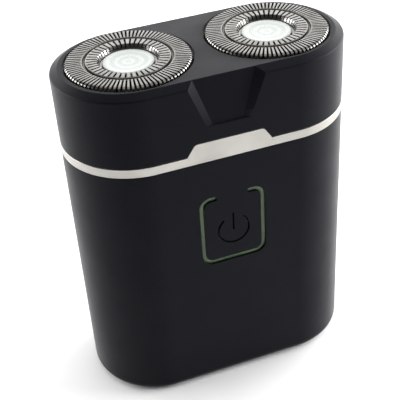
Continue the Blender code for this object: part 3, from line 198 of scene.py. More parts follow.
# ---- foils
FOIL_RADIUS = 12.45 * MM
FOIL_SHEET = 0.2 * MM
FOIL_BORE = 0.6 * MM
FLANGE_HEIGHT = 1.0 * MM
SHOULDER = 0.65 * MM
OUTER_TRACK_INNER = 8.85 * MM
INNER_TRACK_OUTER = 8.4 * MM
TRACK_EDGE = 0.2 * MM
LIP = 0.1 * MM
LIP_DROP = 0.04 * MM
WELL_RADIUS = 6.0 * MM
WELL_FOOT = 5.6 * MM
WELL_DEPTH = 1.3 * MM
GROOVE_DEPTH = 0.55 * MM
GROOVE_FILLET = 0.08 * MM
GROOVE_FILLET_RISE = 0.06 * MM

# ---- foil slots, in columns round the foil: how often a slot comes, and which columns it opens
OUTER_SLOTS = 88
SLOT_PITCH = {"inner": 8, "outer": 4}
SLOT_COLUMNS = {"inner": (3, 6), "outer": (1, 3)}
COLUMNS = OUTER_SLOTS * SLOT_PITCH["outer"]
SLOT_END = 0.45 * MM
SLOT_END_NARROWING = 0.28

# ---- centre caps of the foils
DISC_RIM = 0.22 * MM
DISH_DEPTH = 0.16 * MM
DISH_SHARES = (0.25, 0.5, 0.7, 0.82)
DISH_MOUTH = 0.9
DISH_MOUTH_DROP = 0.01 * MM

# ---- spindle springs
SPRING_WIRE = 0.2 * MM
SPRING_TURNS = 3
SPRING_FLAT = 0.4
SPRING_STEPS = 36
WIRE_SIDES = 12

# ---- how finely curves are drawn
ROUND_STEPS = 128
END_STEPS = 48
STUD_STEPS = 32
CORNER_STEPS = 10
TAB_STEPS = 8
RIM_STEPS = 6
BEND_STEPS = 5
INNER_CORNER_STEPS = 4

# ---- faces that meet in less than this lie in one plane, and a flat's last point before its end
FLAT_ANGLE = math.radians(0.4)
FLAT_END = 0.4 * MM


# ---------------------------------------------------------------- outlines
def arc(x, y, radius, start, end, steps):
    """Points of an arc from start to end, in degrees, both included."""
    angles = [math.radians(start + (end - start) * i / steps) for i in range(steps + 1)]
    return [(x + radius * math.cos(a), y + radius * math.sin(a)) for a in angles]


def circle(radius, steps=ROUND_STEPS, x=0.0, y=0.0):
    """Points of a full circle, each one once."""
    return arc(x, y, radius, 0.0, 360.0, steps)[:-1]


def stadium(inset=0.0):
    """The body's section moved in by inset. The flats have a point near each end, to stay flat."""
    radius = HALF_DEPTH - inset
    straight = HALF_WIDTH - HALF_DEPTH
    near = straight - FLAT_END
    right = arc(straight, 0.0, radius, -90.0, 90.0, END_STEPS)
    left = arc(-straight, 0.0, radius, 90.0, 270.0, END_STEPS)
    return [(near, -radius)] + right + [(near, radius), (-near, radius)] + left + [(-near, -radius)]


def rounded_rectangle(width, height, radius, x=0.0, y=0.0, steps=CORNER_STEPS):
    """Points of a rectangle with round corners, centred on (x, y)."""
    across = width / 2 - radius
    up = height / 2 - radius
    points = arc(x + across, y + up, radius, 0.0, 90.0, steps)
    points += arc(x - across, y + up, radius, 90.0, 180.0, steps)
    points += arc(x - across, y - up, radius, 180.0, 270.0, steps)
    points += arc(x + across, y - up, radius, 270.0, 360.0, steps)
    return points


def tab_outline(grow):
    """The band's trapezoid tab in (x, z), made larger all round by grow."""
    high = TAB_TOP_Z + grow
    top = TAB_WIDTH / 2 + grow
    foot = TAB_FOOT / 2 + grow
    low = BAND_TOP - TAB_ROOT
    lean = math.atan2(TAB_TOP_Z - BAND_TOP, (TAB_FOOT - TAB_WIDTH) / 2)
    middle = top - TAB_CORNER * math.tan(lean / 2)
    right = arc(middle, high - TAB_CORNER, TAB_CORNER, 90.0 - math.degrees(lean), 90.0, TAB_STEPS)
    left = [(-x, z) for x, z in reversed(right)]
    return [(foot, low), (foot, BAND_TOP)] + right + left + [(-foot, BAND_TOP), (-foot, low)]


# ---------------------------------------------------------------- meshes
def new_object(name, data):
    """An object in the scene that shows the mesh, light or camera."""
    obj = bpy.data.objects.new(name, data)
    bpy.context.scene.collection.objects.link(obj)
    return obj


def new_piece(name, vertices, faces):
    """A closed mesh whose faces all look outwards."""
    mesh = bpy.data.meshes.new(name)
    mesh.from_pydata(vertices, [], faces)
    bm = bmesh.new()
    bm.from_mesh(mesh)
    bmesh.ops.recalc_face_normals(bm, faces=bm.faces)
    bm.to_mesh(mesh)
    bm.free()
    return new_object(name, mesh)


def loft(name, loops, ring=False):
    """A closed solid through loops of equally many points. A ring joins the last to the first."""
    count = len(loops[0])
    vertices = [point for loop in loops for point in loop]
    faces = []
    pairs = list(zip(range(len(loops)), range(1, len(loops))))
    if ring:
        pairs.append((len(loops) - 1, 0))
    for a, b in pairs:
        for i in range(count):
            j = (i + 1) % count
            faces.append((a * count + i, a * count + j, b * count + j, b * count + i))
    if not ring:
        faces.append(tuple(range(count)))
        faces.append(tuple(range((len(loops) - 1) * count, len(loops) * count)))
    return new_piece(name, vertices, faces)


def level(outline, z):
    """An (x, y) outline laid at height z."""
    return [(x, y, z) for x, y in outline]


def upright(outline, y):
    """An (x, z) outline stood up at depth y."""
    return [(x, y, z) for x, z in outline]


def prism(name, outline, low, high, facing="Z"):
    """A straight solid on the outline, from low to high along the axis it faces."""
    lay = level if facing == "Z" else upright
    return loft(name, [lay(outline, low), lay(outline, high)])


def turned(name, profile):
    """A turned solid about Z. The profile runs from the axis at the top to the axis at the foot."""
    vertices = [(0.0, 0.0, profile[0][1]), (0.0, 0.0, profile[-1][1])]
    inner = profile[1:-1]
    for radius, z in inner:
        vertices += level(circle(radius), z)
    faces = []
    last = 2 + (len(inner) - 1) * ROUND_STEPS
    for i in range(ROUND_STEPS):
        j = (i + 1) % ROUND_STEPS
        faces.append((0, 2 + i, 2 + j))
        faces.append((1, last + j, last + i))
        for row in range(len(inner) - 1):
            a = 2 + row * ROUND_STEPS
            b = a + ROUND_STEPS
            faces.append((a + i, b + i, b + j, a + j))
    return new_piece(name, vertices, faces)


def groove_cutter(name, path):
    """An oval tube along an (x, z) path on the front plane, as wide and deep as the icon's lines."""
    radius = ICON_STROKE
    points = [Vector((x, FRONT, z)) for x, z in path]
    first = (points[1] - points[0]).normalized()
    last = (points[-1] - points[-2]).normalized()
    stations = []
    for step, size in GROOVE_ENDS:
        stations.append((points[0] + first * radius * step, first, radius * size))
    for index, point in enumerate(points):
        before = points[max(index - 1, 0)]
        after = points[min(index + 1, len(points) - 1)]
        stations.append((point, (after - before).normalized(), radius))
    for step, size in reversed(GROOVE_ENDS):
        stations.append((points[-1] - last * radius * step, last, radius * size))
    inward = Vector((0.0, ICON_DEPTH / radius, 0.0))
    loops = []
    for centre, along, size in stations:
        side = along.cross(Vector((0.0, 1.0, 0.0)))
        loop = []
        for k in range(GROOVE_SIDES):
            turn = 2 * math.pi * k / GROOVE_SIDES
            loop.append(tuple(centre + (side * math.cos(turn) + inward * math.sin(turn)) * size))
        loops.append(loop)
    return loft(name, loops)


def apply_modifiers(obj):
    """Puts the modified shape into the object's own mesh."""
    graph = bpy.context.evaluated_depsgraph_get()
    mesh = bpy.data.meshes.new_from_object(obj.evaluated_get(graph))
    obj.modifiers.clear()
    obj.data = mesh


def join_flat_faces(bm):
    """Makes one face of neighbours that lie in a plane."""
    bmesh.ops.dissolve_limit(bm, angle_limit=FLAT_ANGLE, verts=bm.verts, edges=bm.edges)


def boolean(obj, operation, *others):
    """Cuts the other solids from the object, or joins them to it, and removes them."""
    for other in others:
        modifier = obj.modifiers.new(operation.lower(), "BOOLEAN")
        modifier.operation = operation
        modifier.object = other
        apply_modifiers(obj)
        bpy.data.objects.remove(other, do_unlink=True)
    bm = bmesh.new()
    bm.from_mesh(obj.data)
    join_flat_faces(bm)
    bm.to_mesh(obj.data)
    bm.free()


def soften(obj, width, segments=2, angle=40.0, inside=None):
    """Rounds the edges sharper than the angle, or only those whose ends pass the inside test."""
    bm = bmesh.new()
    bm.from_mesh(obj.data)
    limit = math.radians(angle)
    edges = [edge for edge in bm.edges if edge.calc_face_angle(0.0) > limit]
    if inside:
        edges = [edge for edge in edges if all(inside(end.co) for end in edge.verts)]
    bmesh.ops.bevel(
        bm, geom=edges, offset=width, segments=segments, profile=0.5,
        affect="EDGES", clamp_overlap=True, miter_outer="ARC",
    )
    bm.to_mesh(obj.data)
    bm.free()


def shade(obj, material, angle=30.0, even=False):
    """Smooth shading that keeps sharp edges. Even shading lets the large faces set the normals."""
    obj.data.materials.clear()
    obj.data.materials.append(material)
    obj.data.shade_smooth()
    obj.data.set_sharp_from_angle(angle=math.radians(angle))
    if even:
        normals = obj.modifiers.new("even normals", "WEIGHTED_NORMAL")
        normals.keep_sharp = True
        normals.weight = 100
        apply_modifiers(obj)


# ---------------------------------------------------------------- materials
class Nodes:
    """A material's node tree, with short calls to add and link nodes."""

    def __init__(self, name):
        self.material = bpy.data.materials.new(name)
        self.material["slot"] = name
        self.material.use_nodes = True
        self.tree = self.material.node_tree
        self.shader = self.tree.nodes["Principled BSDF"]
        coordinates = self.add("ShaderNodeTexCoord")
        self.place = coordinates.outputs["Object"]

    def add(self, kind, **settings):
        """A new node of the kind, with its own settings."""
        node = self.tree.nodes.new(kind)
        for key, value in settings.items():
            setattr(node, key, value)
        return node

    def link(self, source, target):
        """Leads an output into an input."""
        self.tree.links.new(source, target)

    def noise(self, scale, detail=2.0, roughness=0.5, stretch=None):
        """Noise over the piece's own shape, drawn out along an axis by the stretch."""
        node = self.add("ShaderNodeTexNoise")
        node.inputs["Scale"].default_value = scale
        node.inputs["Detail"].default_value = detail
        node.inputs["Roughness"].default_value = roughness
        source = self.place
        if stretch:
            mapping = self.add("ShaderNodeMapping")
            mapping.inputs["Scale"].default_value = stretch
            self.link(self.place, mapping.inputs["Vector"])
            source = mapping.outputs["Vector"]
        self.link(source, node.inputs["Vector"])
        return node.outputs["Fac"]

    def spread(self, value, low, high):
        """The middle range of a noise, spread from low to high."""
        node = self.add("ShaderNodeMapRange")
        node.inputs["From Min"].default_value = 0.3
        node.inputs["From Max"].default_value = 0.7
        node.inputs["To Min"].default_value = low
        node.inputs["To Max"].default_value = high
        self.link(value, node.inputs["Value"])
        return node.outputs["Result"]

    def ramp(self, value, first, second, low=0.35, high=0.65):
        """A colour that runs from the first to the second as the value goes from low to high."""
        node = self.add("ShaderNodeValToRGB")
        node.color_ramp.elements[0].position = low
        node.color_ramp.elements[0].color = (*first, 1.0)
        node.color_ramp.elements[1].position = high
        node.color_ramp.elements[1].color = (*second, 1.0)
        self.link(value, node.inputs["Fac"])
        return node.outputs["Color"]

    def bump(self, height, distance, strength, below=None):
        """A relief of the height, on top of the one below it."""
        node = self.add("ShaderNodeBump")
        node.inputs["Strength"].default_value = strength
        node.inputs["Distance"].default_value = distance
        self.link(height, node.inputs["Height"])
        if below:
            self.link(below, node.inputs["Normal"])
        return node.outputs["Normal"]

    def set(self, **values):
        """Sets or links the shader's inputs by name, and returns the material."""
        for key, value in values.items():
            socket = self.shader.inputs[key.replace("_", " ")]
            if hasattr(value, "is_linked"):
                self.link(value, socket)
            else:
                socket.default_value = value
        return self.material


def soft_touch_black():
    """Rubberised matt paint: a fine pebble, faint mottling and a little dust."""
    n = Nodes("soft_black")
    mottle = n.noise(160.0, 3.0)
    pebble = n.noise(3600.0, 3.0, 0.65)
    ripple = n.noise(900.0, 2.0)
    normal = n.bump(pebble, 0.02 * MM, 0.8, n.bump(ripple, 0.012 * MM, 0.3))
    return n.set(
        Base_Color=n.ramp(pebble, (0.0020, 0.0024, 0.0048), (0.0050, 0.0054, 0.0084)),
        Roughness=n.spread(mottle, 0.48, 0.58),
        Specular_IOR_Level=0.065,
        Sheen_Weight=0.3,
        Sheen_Roughness=0.3,
        Normal=normal,
    )


def satin_silver():
    """Bead-blasted, clear-coated trim."""
    n = Nodes("satin_silver")
    grain = n.noise(7000.0, 2.0)
    cloud = n.noise(120.0, 2.0)
    return n.set(
        Base_Color=n.ramp(cloud, (0.38, 0.365, 0.342), (0.45, 0.435, 0.41)),
        Metallic=1.0,
        Roughness=n.spread(grain, 0.36, 0.46),
        Normal=n.bump(grain, 0.004 * MM, 0.35),
    )


def foil_steel():
    """Polished stainless sheet with fine turned marks, and painted shade darkening the groove
    between its tracks.
    """
    n = Nodes("steel_foil")
    split = n.add("ShaderNodeVectorMath", operation="MULTIPLY")
    split.inputs[1].default_value = (1.0, 1.0, 0.0)
    n.link(n.place, split.inputs[0])
    length = n.add("ShaderNodeVectorMath", operation="LENGTH")
    n.link(split.outputs["Vector"], length.inputs[0])
    marks = n.add("ShaderNodeTexNoise", noise_dimensions="1D")
    marks.inputs["Scale"].default_value = 9000.0
    marks.inputs["Detail"].default_value = 3.0
    n.link(length.outputs["Value"], marks.inputs["W"])
    cloud = n.noise(500.0, 2.0)
    sheet = n.ramp(cloud, (0.14, 0.135, 0.127), (0.20, 0.195, 0.186))
    # Painted shade: a ring of dark brown base colour over the groove between the tracks stands in
    # for the shade in that recess.
    groove = n.add("ShaderNodeMath", operation="COMPARE")
    groove.inputs[1].default_value = (INNER_TRACK_OUTER + OUTER_TRACK_INNER) / 2
    groove.inputs[2].default_value = (OUTER_TRACK_INNER - INNER_TRACK_OUTER) / 2 + 0.04 * MM
    n.link(length.outputs["Value"], groove.inputs[0])
    painted_groove_shade = n.add("ShaderNodeMix", data_type="RGBA")
    painted_groove_shade.inputs["B"].default_value = (0.045, 0.036, 0.028, 1.0)
    n.link(groove.outputs["Value"], painted_groove_shade.inputs["Factor"])
    n.link(sheet, painted_groove_shade.inputs["A"])
    return n.set(
        Base_Color=painted_groove_shade.outputs["Result"],
        Metallic=1.0,
        Roughness=n.spread(marks.outputs["Fac"], 0.2, 0.36),
        Normal=n.bump(marks.outputs["Fac"], 0.003 * MM, 0.4),
    )


def mirror_disc():
    """Pale lacquered centre cap, with soft rings of painted reflection round its middle."""
    n = Nodes("pale_disc")
    # Painted reflection: concentric rings of lighter and darker base colour round the cap's middle.
    rings = n.add("ShaderNodeTexWave", wave_type="RINGS", rings_direction="Z")
    rings.inputs["Scale"].default_value = 190.0
    rings.inputs["Distortion"].default_value = 1.5
    n.link(n.place, rings.inputs["Vector"])
    grain = n.noise(6000.0, 2.0)
    return n.set(
        Base_Color=n.ramp(rings.outputs["Fac"], (0.35, 0.38, 0.355), (0.44, 0.46, 0.445), 0.2, 0.8),
        Metallic=0.2,
        Roughness=n.spread(grain, 0.24, 0.34),
        Normal=n.bump(grain, 0.003 * MM, 0.25),
    )


def guide_green():
    """Tinted clear plastic of the light guide."""
    n = Nodes("green_guide")
    cloud = n.noise(300.0, 3.0)
    return n.set(
        Base_Color=n.ramp(cloud, (0.034, 0.07, 0.024), (0.07, 0.118, 0.045)),
        Roughness=n.spread(cloud, 0.3, 0.42),
        Specular_IOR_Level=0.5,
        Transmission_Weight=0.15,
    )


def moulded(name, dark, light, roughness, grain_size=0.18 * MM):
    """A moulded plastic with a spark-eroded grain and faint flow marks."""
    n = Nodes(name)
    grain = n.noise(1.0 / grain_size, 2.0)
    flow = n.noise(90.0, 3.0, stretch=(1.0, 1.0, 0.25))
    return n.set(
        Base_Color=n.ramp(flow, dark, light),
        Roughness=n.spread(grain, roughness - 0.07, roughness + 0.07),
        Normal=n.bump(grain, 0.01 * MM, 0.4),
    )


def machined(name, dark, light, roughness, mark_scale=4000.0):
    """A bare metal with fine drawn marks along Z."""
    n = Nodes(name)
    marks = n.noise(mark_scale, 3.0, stretch=(1.0, 1.0, 0.06))
    cloud = n.noise(260.0, 2.0)
    return n.set(
        Base_Color=n.ramp(cloud, dark, light),
        Metallic=1.0,
        Roughness=n.spread(marks, roughness - 0.08, roughness + 0.08),
        Normal=n.bump(marks, 0.004 * MM, 0.4),
    )


def circuit_board():
    """Green solder mask over a weave, with paler tracks."""
    n = Nodes("board_green")
    weave = n.add("ShaderNodeTexWave", wave_type="BANDS", bands_direction="DIAGONAL")
    weave.inputs["Scale"].default_value = 500.0
    n.link(n.place, weave.inputs["Vector"])
    tracks = n.add("ShaderNodeTexVoronoi", feature="DISTANCE_TO_EDGE", distance="MANHATTAN")
    tracks.inputs["Scale"].default_value = 420.0
    n.link(n.place, tracks.inputs["Vector"])
    edge = tracks.outputs["Distance"]
    return n.set(
        Base_Color=n.ramp(edge, (0.05, 0.22, 0.07), (0.008, 0.075, 0.03), 0.04, 0.09),
        Roughness=0.36,
        Normal=n.bump(weave.outputs["Fac"], 0.006 * MM, 0.3),
    )


def wrapped_cell():
    """Shiny shrink film over a battery can."""
    n = Nodes("cell_wrap")
    wrinkles = n.noise(700.0, 3.0, stretch=(1.0, 1.0, 0.3))
    cloud = n.noise(110.0, 2.0)
    return n.set(
        Base_Color=n.ramp(cloud, (0.03, 0.13, 0.28), (0.045, 0.18, 0.36)),
        Roughness=n.spread(cloud, 0.24, 0.36),
        Normal=n.bump(wrinkles, 0.02 * MM, 0.3),
        Coat_Weight=0.3,
    )


SOFT_BLACK = soft_touch_black()
SILVER = satin_silver()
FOIL_STEEL = foil_steel()
PALE_DISC = mirror_disc()
GREEN_GUIDE = guide_green()
DARK_PLASTIC = moulded("dark_plastic", (0.018, 0.018, 0.02), (0.028, 0.028, 0.03), 0.5)
GREY_PLASTIC = moulded("grey_plastic", (0.12, 0.12, 0.13), (0.17, 0.17, 0.18), 0.45)
WHITE_NYLON = moulded("white_nylon", (0.66, 0.65, 0.60), (0.74, 0.73, 0.69), 0.45)
LED_RESIN = moulded("led_resin", (0.70, 0.73, 0.66), (0.80, 0.82, 0.76), 0.3)
LED_RESIN["slot"] = "pale_disc"
SEAL_RUBBER = moulded("seal_rubber", (0.014, 0.014, 0.014), (0.022, 0.022, 0.022), 0.75, 0.3 * MM)
RED_WIRE = moulded("red_wire", (0.38, 0.02, 0.014), (0.48, 0.03, 0.02), 0.42)
BLACK_WIRE = moulded("black_wire", (0.014, 0.014, 0.014), (0.022, 0.022, 0.022), 0.42)
BRIGHT_METAL = machined("bright_metal", (0.60, 0.60, 0.61), (0.70, 0.70, 0.71), 0.27)
MOTOR_STEEL = machined("motor_steel", (0.42, 0.42, 0.44), (0.52, 0.52, 0.54), 0.36, 2500.0)
CUTTER_STEEL = machined("cutter_steel", (0.03, 0.026, 0.023), (0.05, 0.045, 0.04), 0.45)
BRASS = machined("brass", (0.58, 0.41, 0.16), (0.68, 0.50, 0.22), 0.34)
BOARD_GREEN = circuit_board()
CELL_WRAP = wrapped_cell()

# The materials of the copied CAD nodes, by the start of their names.
NODE_MATERIALS = {
    "drive_deck": DARK_PLASTIC,
    "gear_bracket": DARK_PLASTIC,
    "cutter_bracket": DARK_PLASTIC,
    "socket_tongue": DARK_PLASTIC,
    "tact_switch": DARK_PLASTIC,
    "switch_plunger": GREY_PLASTIC,
    "lock_knob": GREY_PLASTIC,
    "spindle": GREY_PLASTIC,
    "drive_gear": WHITE_NYLON,
    "motor_end_cap": WHITE_NYLON,
    "chassis": WHITE_NYLON,
    "indicator_led": LED_RESIN,
    "shaft_seal": SEAL_RUBBER,
    "port_gasket": SEAL_RUBBER,
    "motor_lead_plus": RED_WIRE,
    "battery_lead_plus": RED_WIRE,
    "motor_lead_minus": BLACK_WIRE,
    "battery_lead_minus": BLACK_WIRE,
    "motor_can": MOTOR_STEEL,
    "motor_shaft": BRIGHT_METAL,
    "charging_socket": BRIGHT_METAL,
    "bracket_screw": BRIGHT_METAL,
    "board_screw": BRIGHT_METAL,
    "head_magnet": BRIGHT_METAL,
    "deck_magnet": BRIGHT_METAL,
    "axle_pin": BRIGHT_METAL,
    "cutter": CUTTER_STEEL,
    "pinion": BRASS,
    "control_board": BOARD_GREEN,
    "charge_board": BOARD_GREEN,
    "battery_cell": CELL_WRAP,
}

# The CAD nodes that aren't copied, as they are made again as fine meshes further down.
REMADE = (
    "main_housing",
    "power_button",
    "light_guide",
    "silver_band",
    "head_frame",
    "foil",
    "spindle_spring",
)
NODE_EDGE = 0.1 * MM
MERGE = 0.001 * MM


def copy_node(name, node, material):
    """A copy of a CAD node with its edges softened and its round faces shaded smooth."""
    bm = bmesh.new()
    bm.from_mesh(node.data)
    bmesh.ops.remove_doubles(bm, verts=bm.verts, dist=MERGE)
    join_flat_faces(bm)
    mesh = bpy.data.meshes.new(name + "_fine")
    bm.to_mesh(mesh)
    bm.free()
    piece = new_object(name + "_fine", mesh)
    soften(piece, NODE_EDGE)
    shade(piece, material, 32.0, even=True)
    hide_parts(name)
    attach(piece, node["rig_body"])


def copy_cad_nodes():
    """The longest matching name start wins, so cutter_bracket isn't taken for a cutter."""
    for name, node in frame["nodes"].items():
        if name.startswith(REMADE):
            continue
        starts = [start for start in NODE_MATERIALS if name.startswith(start)]
        copy_node(name, node, NODE_MATERIALS[max(starts, key=len)])


# ---------------------------------------------------------------- housing
def housing():
    """The shell: round lower edge, open top, window for the button and mouth for the socket."""
    rim = BAND_LOW - SEAM
    loops = []
    for across, up in arc(0.0, 0.0, BASE_RADIUS, 90.0, 0.0, CORNER_STEPS):
        loops.append(level(stadium(BASE_RADIUS - across), BASE_RADIUS - up))
    loops.append(level(stadium(), rim - SEAM_EDGE))
    loops.append(level(stadium(SEAM_EDGE), rim))
    loops.append(level(stadium(WALL), rim))
    loops.append(level(stadium(WALL), BASE_WALL))
    shell = loft("housing_shell", loops)
    window_outline = rounded_rectangle(
        BUTTON_WIDTH, BUTTON_HEIGHT, BUTTON_CORNER, 0.0, BUTTON_MIDDLE
    )
    window = prism("window", window_outline, FRONT - OVERCUT, FRONT + WALL + OVERCUT, "Y")
    port_outline = rounded_rectangle(PORT_WIDTH, PORT_HEIGHT, PORT_CORNER)
    port = prism("port", port_outline, -OVERCUT, BASE_WALL + OVERCUT)
    boolean(shell, "DIFFERENCE", window, port)
    soften(shell, SLOT_EDGE)
    shade(shell, SOFT_BLACK, even=True)
    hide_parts("main_housing")
    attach(shell, "body")


def flap_outline():
    """The flap inside the slot with its neck, which runs up into the wall above the window."""
    half_x = BUTTON_WIDTH / 2 - SLOT_WIDTH
    half_z = BUTTON_HEIGHT / 2 - SLOT_WIDTH
    radius = BUTTON_CORNER - SLOT_WIDTH
    neck = NECK_WIDTH / 2
    across = half_x - radius
    up = half_z - radius
    shares = [step / NECK_STEPS for step in range(1, NECK_STEPS + 1)]
    rises = [BUTTON_TOP - SLOT_WIDTH * (1.0 - share) for share in shares]
    rises.append(BUTTON_TOP + OVERCUT)
    points = arc(across, BUTTON_MIDDLE - up, radius, -90.0, 0.0, CORNER_STEPS)
    points += arc(across, BUTTON_MIDDLE + up, radius, 0.0, 90.0, CORNER_STEPS)
    points += [(neck, BUTTON_MIDDLE + half_z)] + [(neck, z) for z in rises]
    points += [(-neck, z) for z in reversed(rises)] + [(-neck, BUTTON_MIDDLE + half_z)]
    points += arc(-across, BUTTON_MIDDLE + up, radius, 90.0, 180.0, CORNER_STEPS)
    points += arc(-across, BUTTON_MIDDLE - up, radius, 180.0, 270.0, CORNER_STEPS)
    return points


def power_flap():
    """The button: flap, neck cut off flat at the window's top, power symbol and post."""
    flap = prism("power_flap", flap_outline(), FRONT, FRONT + WALL, "Y")
    soften(flap, SLOT_EDGE)
    above_outline = rounded_rectangle(
        2 * NECK_WIDTH, NECK_CUT, NECK_CUT_CORNER, 0.0, BUTTON_TOP + SLOT_EDGE + NECK_CUT / 2
    )
    above = prism("above", above_outline, FRONT - OVERCUT, FRONT + 2 * WALL, "Y")
    boolean(flap, "DIFFERENCE", above)
    ring = arc(0.0, ICON_Z, ICON_RADIUS, 90.0 + ICON_GAP, 450.0 - ICON_GAP, END_STEPS)
    bar = [(0.0, ICON_Z), (0.0, (ICON_Z + ICON_BAR_HIGH) / 2), (0.0, ICON_BAR_HIGH)]
    boolean(flap, "DIFFERENCE", groove_cutter("icon_ring", ring))
    boolean(flap, "DIFFERENCE", groove_cutter("icon_bar", bar))
    low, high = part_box("switch_plunger")
    post_outline = circle(POST_RADIUS, END_STEPS, 0.0, (low.z + high.z) / 2)
    post = prism("post", post_outline, FRONT + WALL - EMBED, BUTTON_BACK, "Y")
    boolean(flap, "UNION", post)
    shade(flap, SOFT_BLACK, even=True)
    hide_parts("power_button")
    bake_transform(flap)


def slot_path(inset, start):
    """The open-top path round the button in (x, z), inset from the slot's outer edge."""
    radius = BUTTON_CORNER - inset
    across = BUTTON_WIDTH / 2 - inset - radius
    up = BUTTON_HEIGHT / 2 - inset
    high = BUTTON_MIDDLE + up - radius
    low = BUTTON_MIDDLE - up + radius
    points = [(start, BUTTON_MIDDLE + up)]
    points += arc(across, high, radius, 90.0, 0.0, CORNER_STEPS)
    points += arc(across, low, radius, 0.0, -90.0, CORNER_STEPS)
    points += arc(-across, low, radius, -90.0, -180.0, CORNER_STEPS)
    points += arc(-across, high, radius, 180.0, 90.0, CORNER_STEPS)
    return points + [(-start, BUTTON_MIDDLE + up)]


def slot_band(outer, inner, end_gap):
    """The band between two insets of the slot's path, kept clear of the neck by end_gap."""
    start = NECK_WIDTH / 2 + end_gap
    return slot_path(outer, start) + list(reversed(slot_path(inner, start)))


def guide_rib():
    """The light guide: a rib in the slot, on a wider flange behind the wall."""
    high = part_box("light_guide")[1]
    inner = SLOT_WIDTH - GUIDE_CLEAR
    flange_front = high.y - GUIDE_FLANGE
    flange_reach = high.x - BUTTON_WIDTH / 2
    band = slot_band(GUIDE_CLEAR, inner, GUIDE_CLEAR)
    rib = prism("guide_rib", band, FRONT + GUIDE_RECESS, flange_front + EMBED, "Y")
    soften(rib, GUIDE_EDGE, 3)
    flange_band = slot_band(-flange_reach, inner, GUIDE_CLEAR + EMBED)
    flange = prism("flange", flange_band, flange_front, high.y, "Y")
    boolean(rib, "UNION", flange)
    shade(rib, GREEN_GUIDE)
    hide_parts("light_guide")
    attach(rib, "body")


def trim_band():
    """The silver band all round, with the tab that stands up at the front."""
    high = BAND_TOP - SEAM
    loops = [
        level(stadium(), BAND_LOW),
        level(stadium(), high),
        level(stadium(WALL), high),
        level(stadium(WALL), BAND_LOW),
    ]
    band = loft("trim_band", loops, ring=True)
    tab = prism("tab", tab_outline(0.0), FRONT, FRONT + TAB_THICKNESS, "Y")
    boolean(band, "UNION", tab)
    soften(band, BAND_EDGE)
    shade(band, SILVER, 20.0, even=True)
    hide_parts("silver_band")
    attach(band, "body")


# ---------------------------------------------------------------- head
def between(foot, top, share):
    """A size at a share of the notch's height, from its sizes at the foot and at the top."""
    return foot + (top - foot) * share


def notch_cutter():
    """The thumb notch: deeper and wider towards the top, in thin steps as its sides are twisted."""
    high = 1.0 + OVERCUT / NOTCH_HEIGHT
    loops = []
    for step in range(NOTCH_STEPS + 1):
        share = high * step / NOTCH_STEPS
        depth = between(NOTCH_DEPTH_FOOT, NOTCH_DEPTH_TOP, share)
        outer = between(NOTCH_FOOT, NOTCH_TOP, share) / 2
        floor_half = between(NOTCH_FLOOR_FOOT, NOTCH_FLOOR_TOP, share) / 2
        front = outer + (outer - floor_half) * NOTCH_PROUD / depth
        section = [
            (-front, FRONT - NOTCH_PROUD),
            (front, FRONT - NOTCH_PROUD),
            (floor_half, FRONT + depth),
            (-floor_half, FRONT + depth),
        ]
        loops.append(level(section, HEAD_TOP - NOTCH_HEIGHT * (1.0 - share)))
    return loft("notch", loops)


def on_notch(place):
    """True on the notch's own edges: the rim it makes in the front, and its floor's edges."""
    foot = HEAD_TOP - NOTCH_HEIGHT
    outer = between(NOTCH_FOOT, NOTCH_TOP, (place.z - foot) / NOTCH_HEIGHT) / 2
    in_height = foot - CLOSE < place.z < HEAD_TOP + CLOSE
    in_depth = place.y < FRONT + NOTCH_DEPTH_TOP + SLACK
    return in_height and in_depth and abs(place.x) < outer + SLACK


def on_tab_recess(place):
    """True on the front edges of the recess for the band's tab."""
    return place.y < FRONT + CLOSE and place.z < TAB_RECESS_HIGH


def rounded_bend(before, bend, after):
    """Points of the arc that rounds a bend of the cap's profile."""
    radius = BEVEL_ROUNDING
    before, bend, after = Vector(before), Vector(bend), Vector(after)
    to_before = (before - bend).normalized()
    to_after = (after - bend).normalized()
    half = to_before.angle(to_after) / 2
    centre = bend + (to_before + to_after).normalized() * radius / math.sin(half)
    first = (bend + to_before * radius / math.tan(half) - centre).normalized()
    last = (bend + to_after * radius / math.tan(half) - centre).normalized()
    shares = [step / BEND_STEPS for step in range(BEND_STEPS + 1)]
    points = [centre + first.slerp(last, share) * radius for share in shares]
    return [(point.x, point.y) for point in points]


def foil_hole(x):
    """The cutter for a foil's hole, with a softened mouth."""
    bow = HOLE_EDGE_BOW * HOLE_EDGE
    profile = [
        (HOLE_RADIUS, ROOF_LOW - OVERCUT),
        (HOLE_RADIUS, HEAD_TOP - HOLE_EDGE),
        (HOLE_RADIUS + bow, HEAD_TOP - bow),
        (HOLE_RADIUS + HOLE_EDGE, HEAD_TOP),
        (HOLE_RADIUS + HOLE_EDGE, HEAD_TOP + OVERCUT),
    ]
    return loft("hole", [level(circle(radius, ROUND_STEPS, x), z) for radius, z in profile])


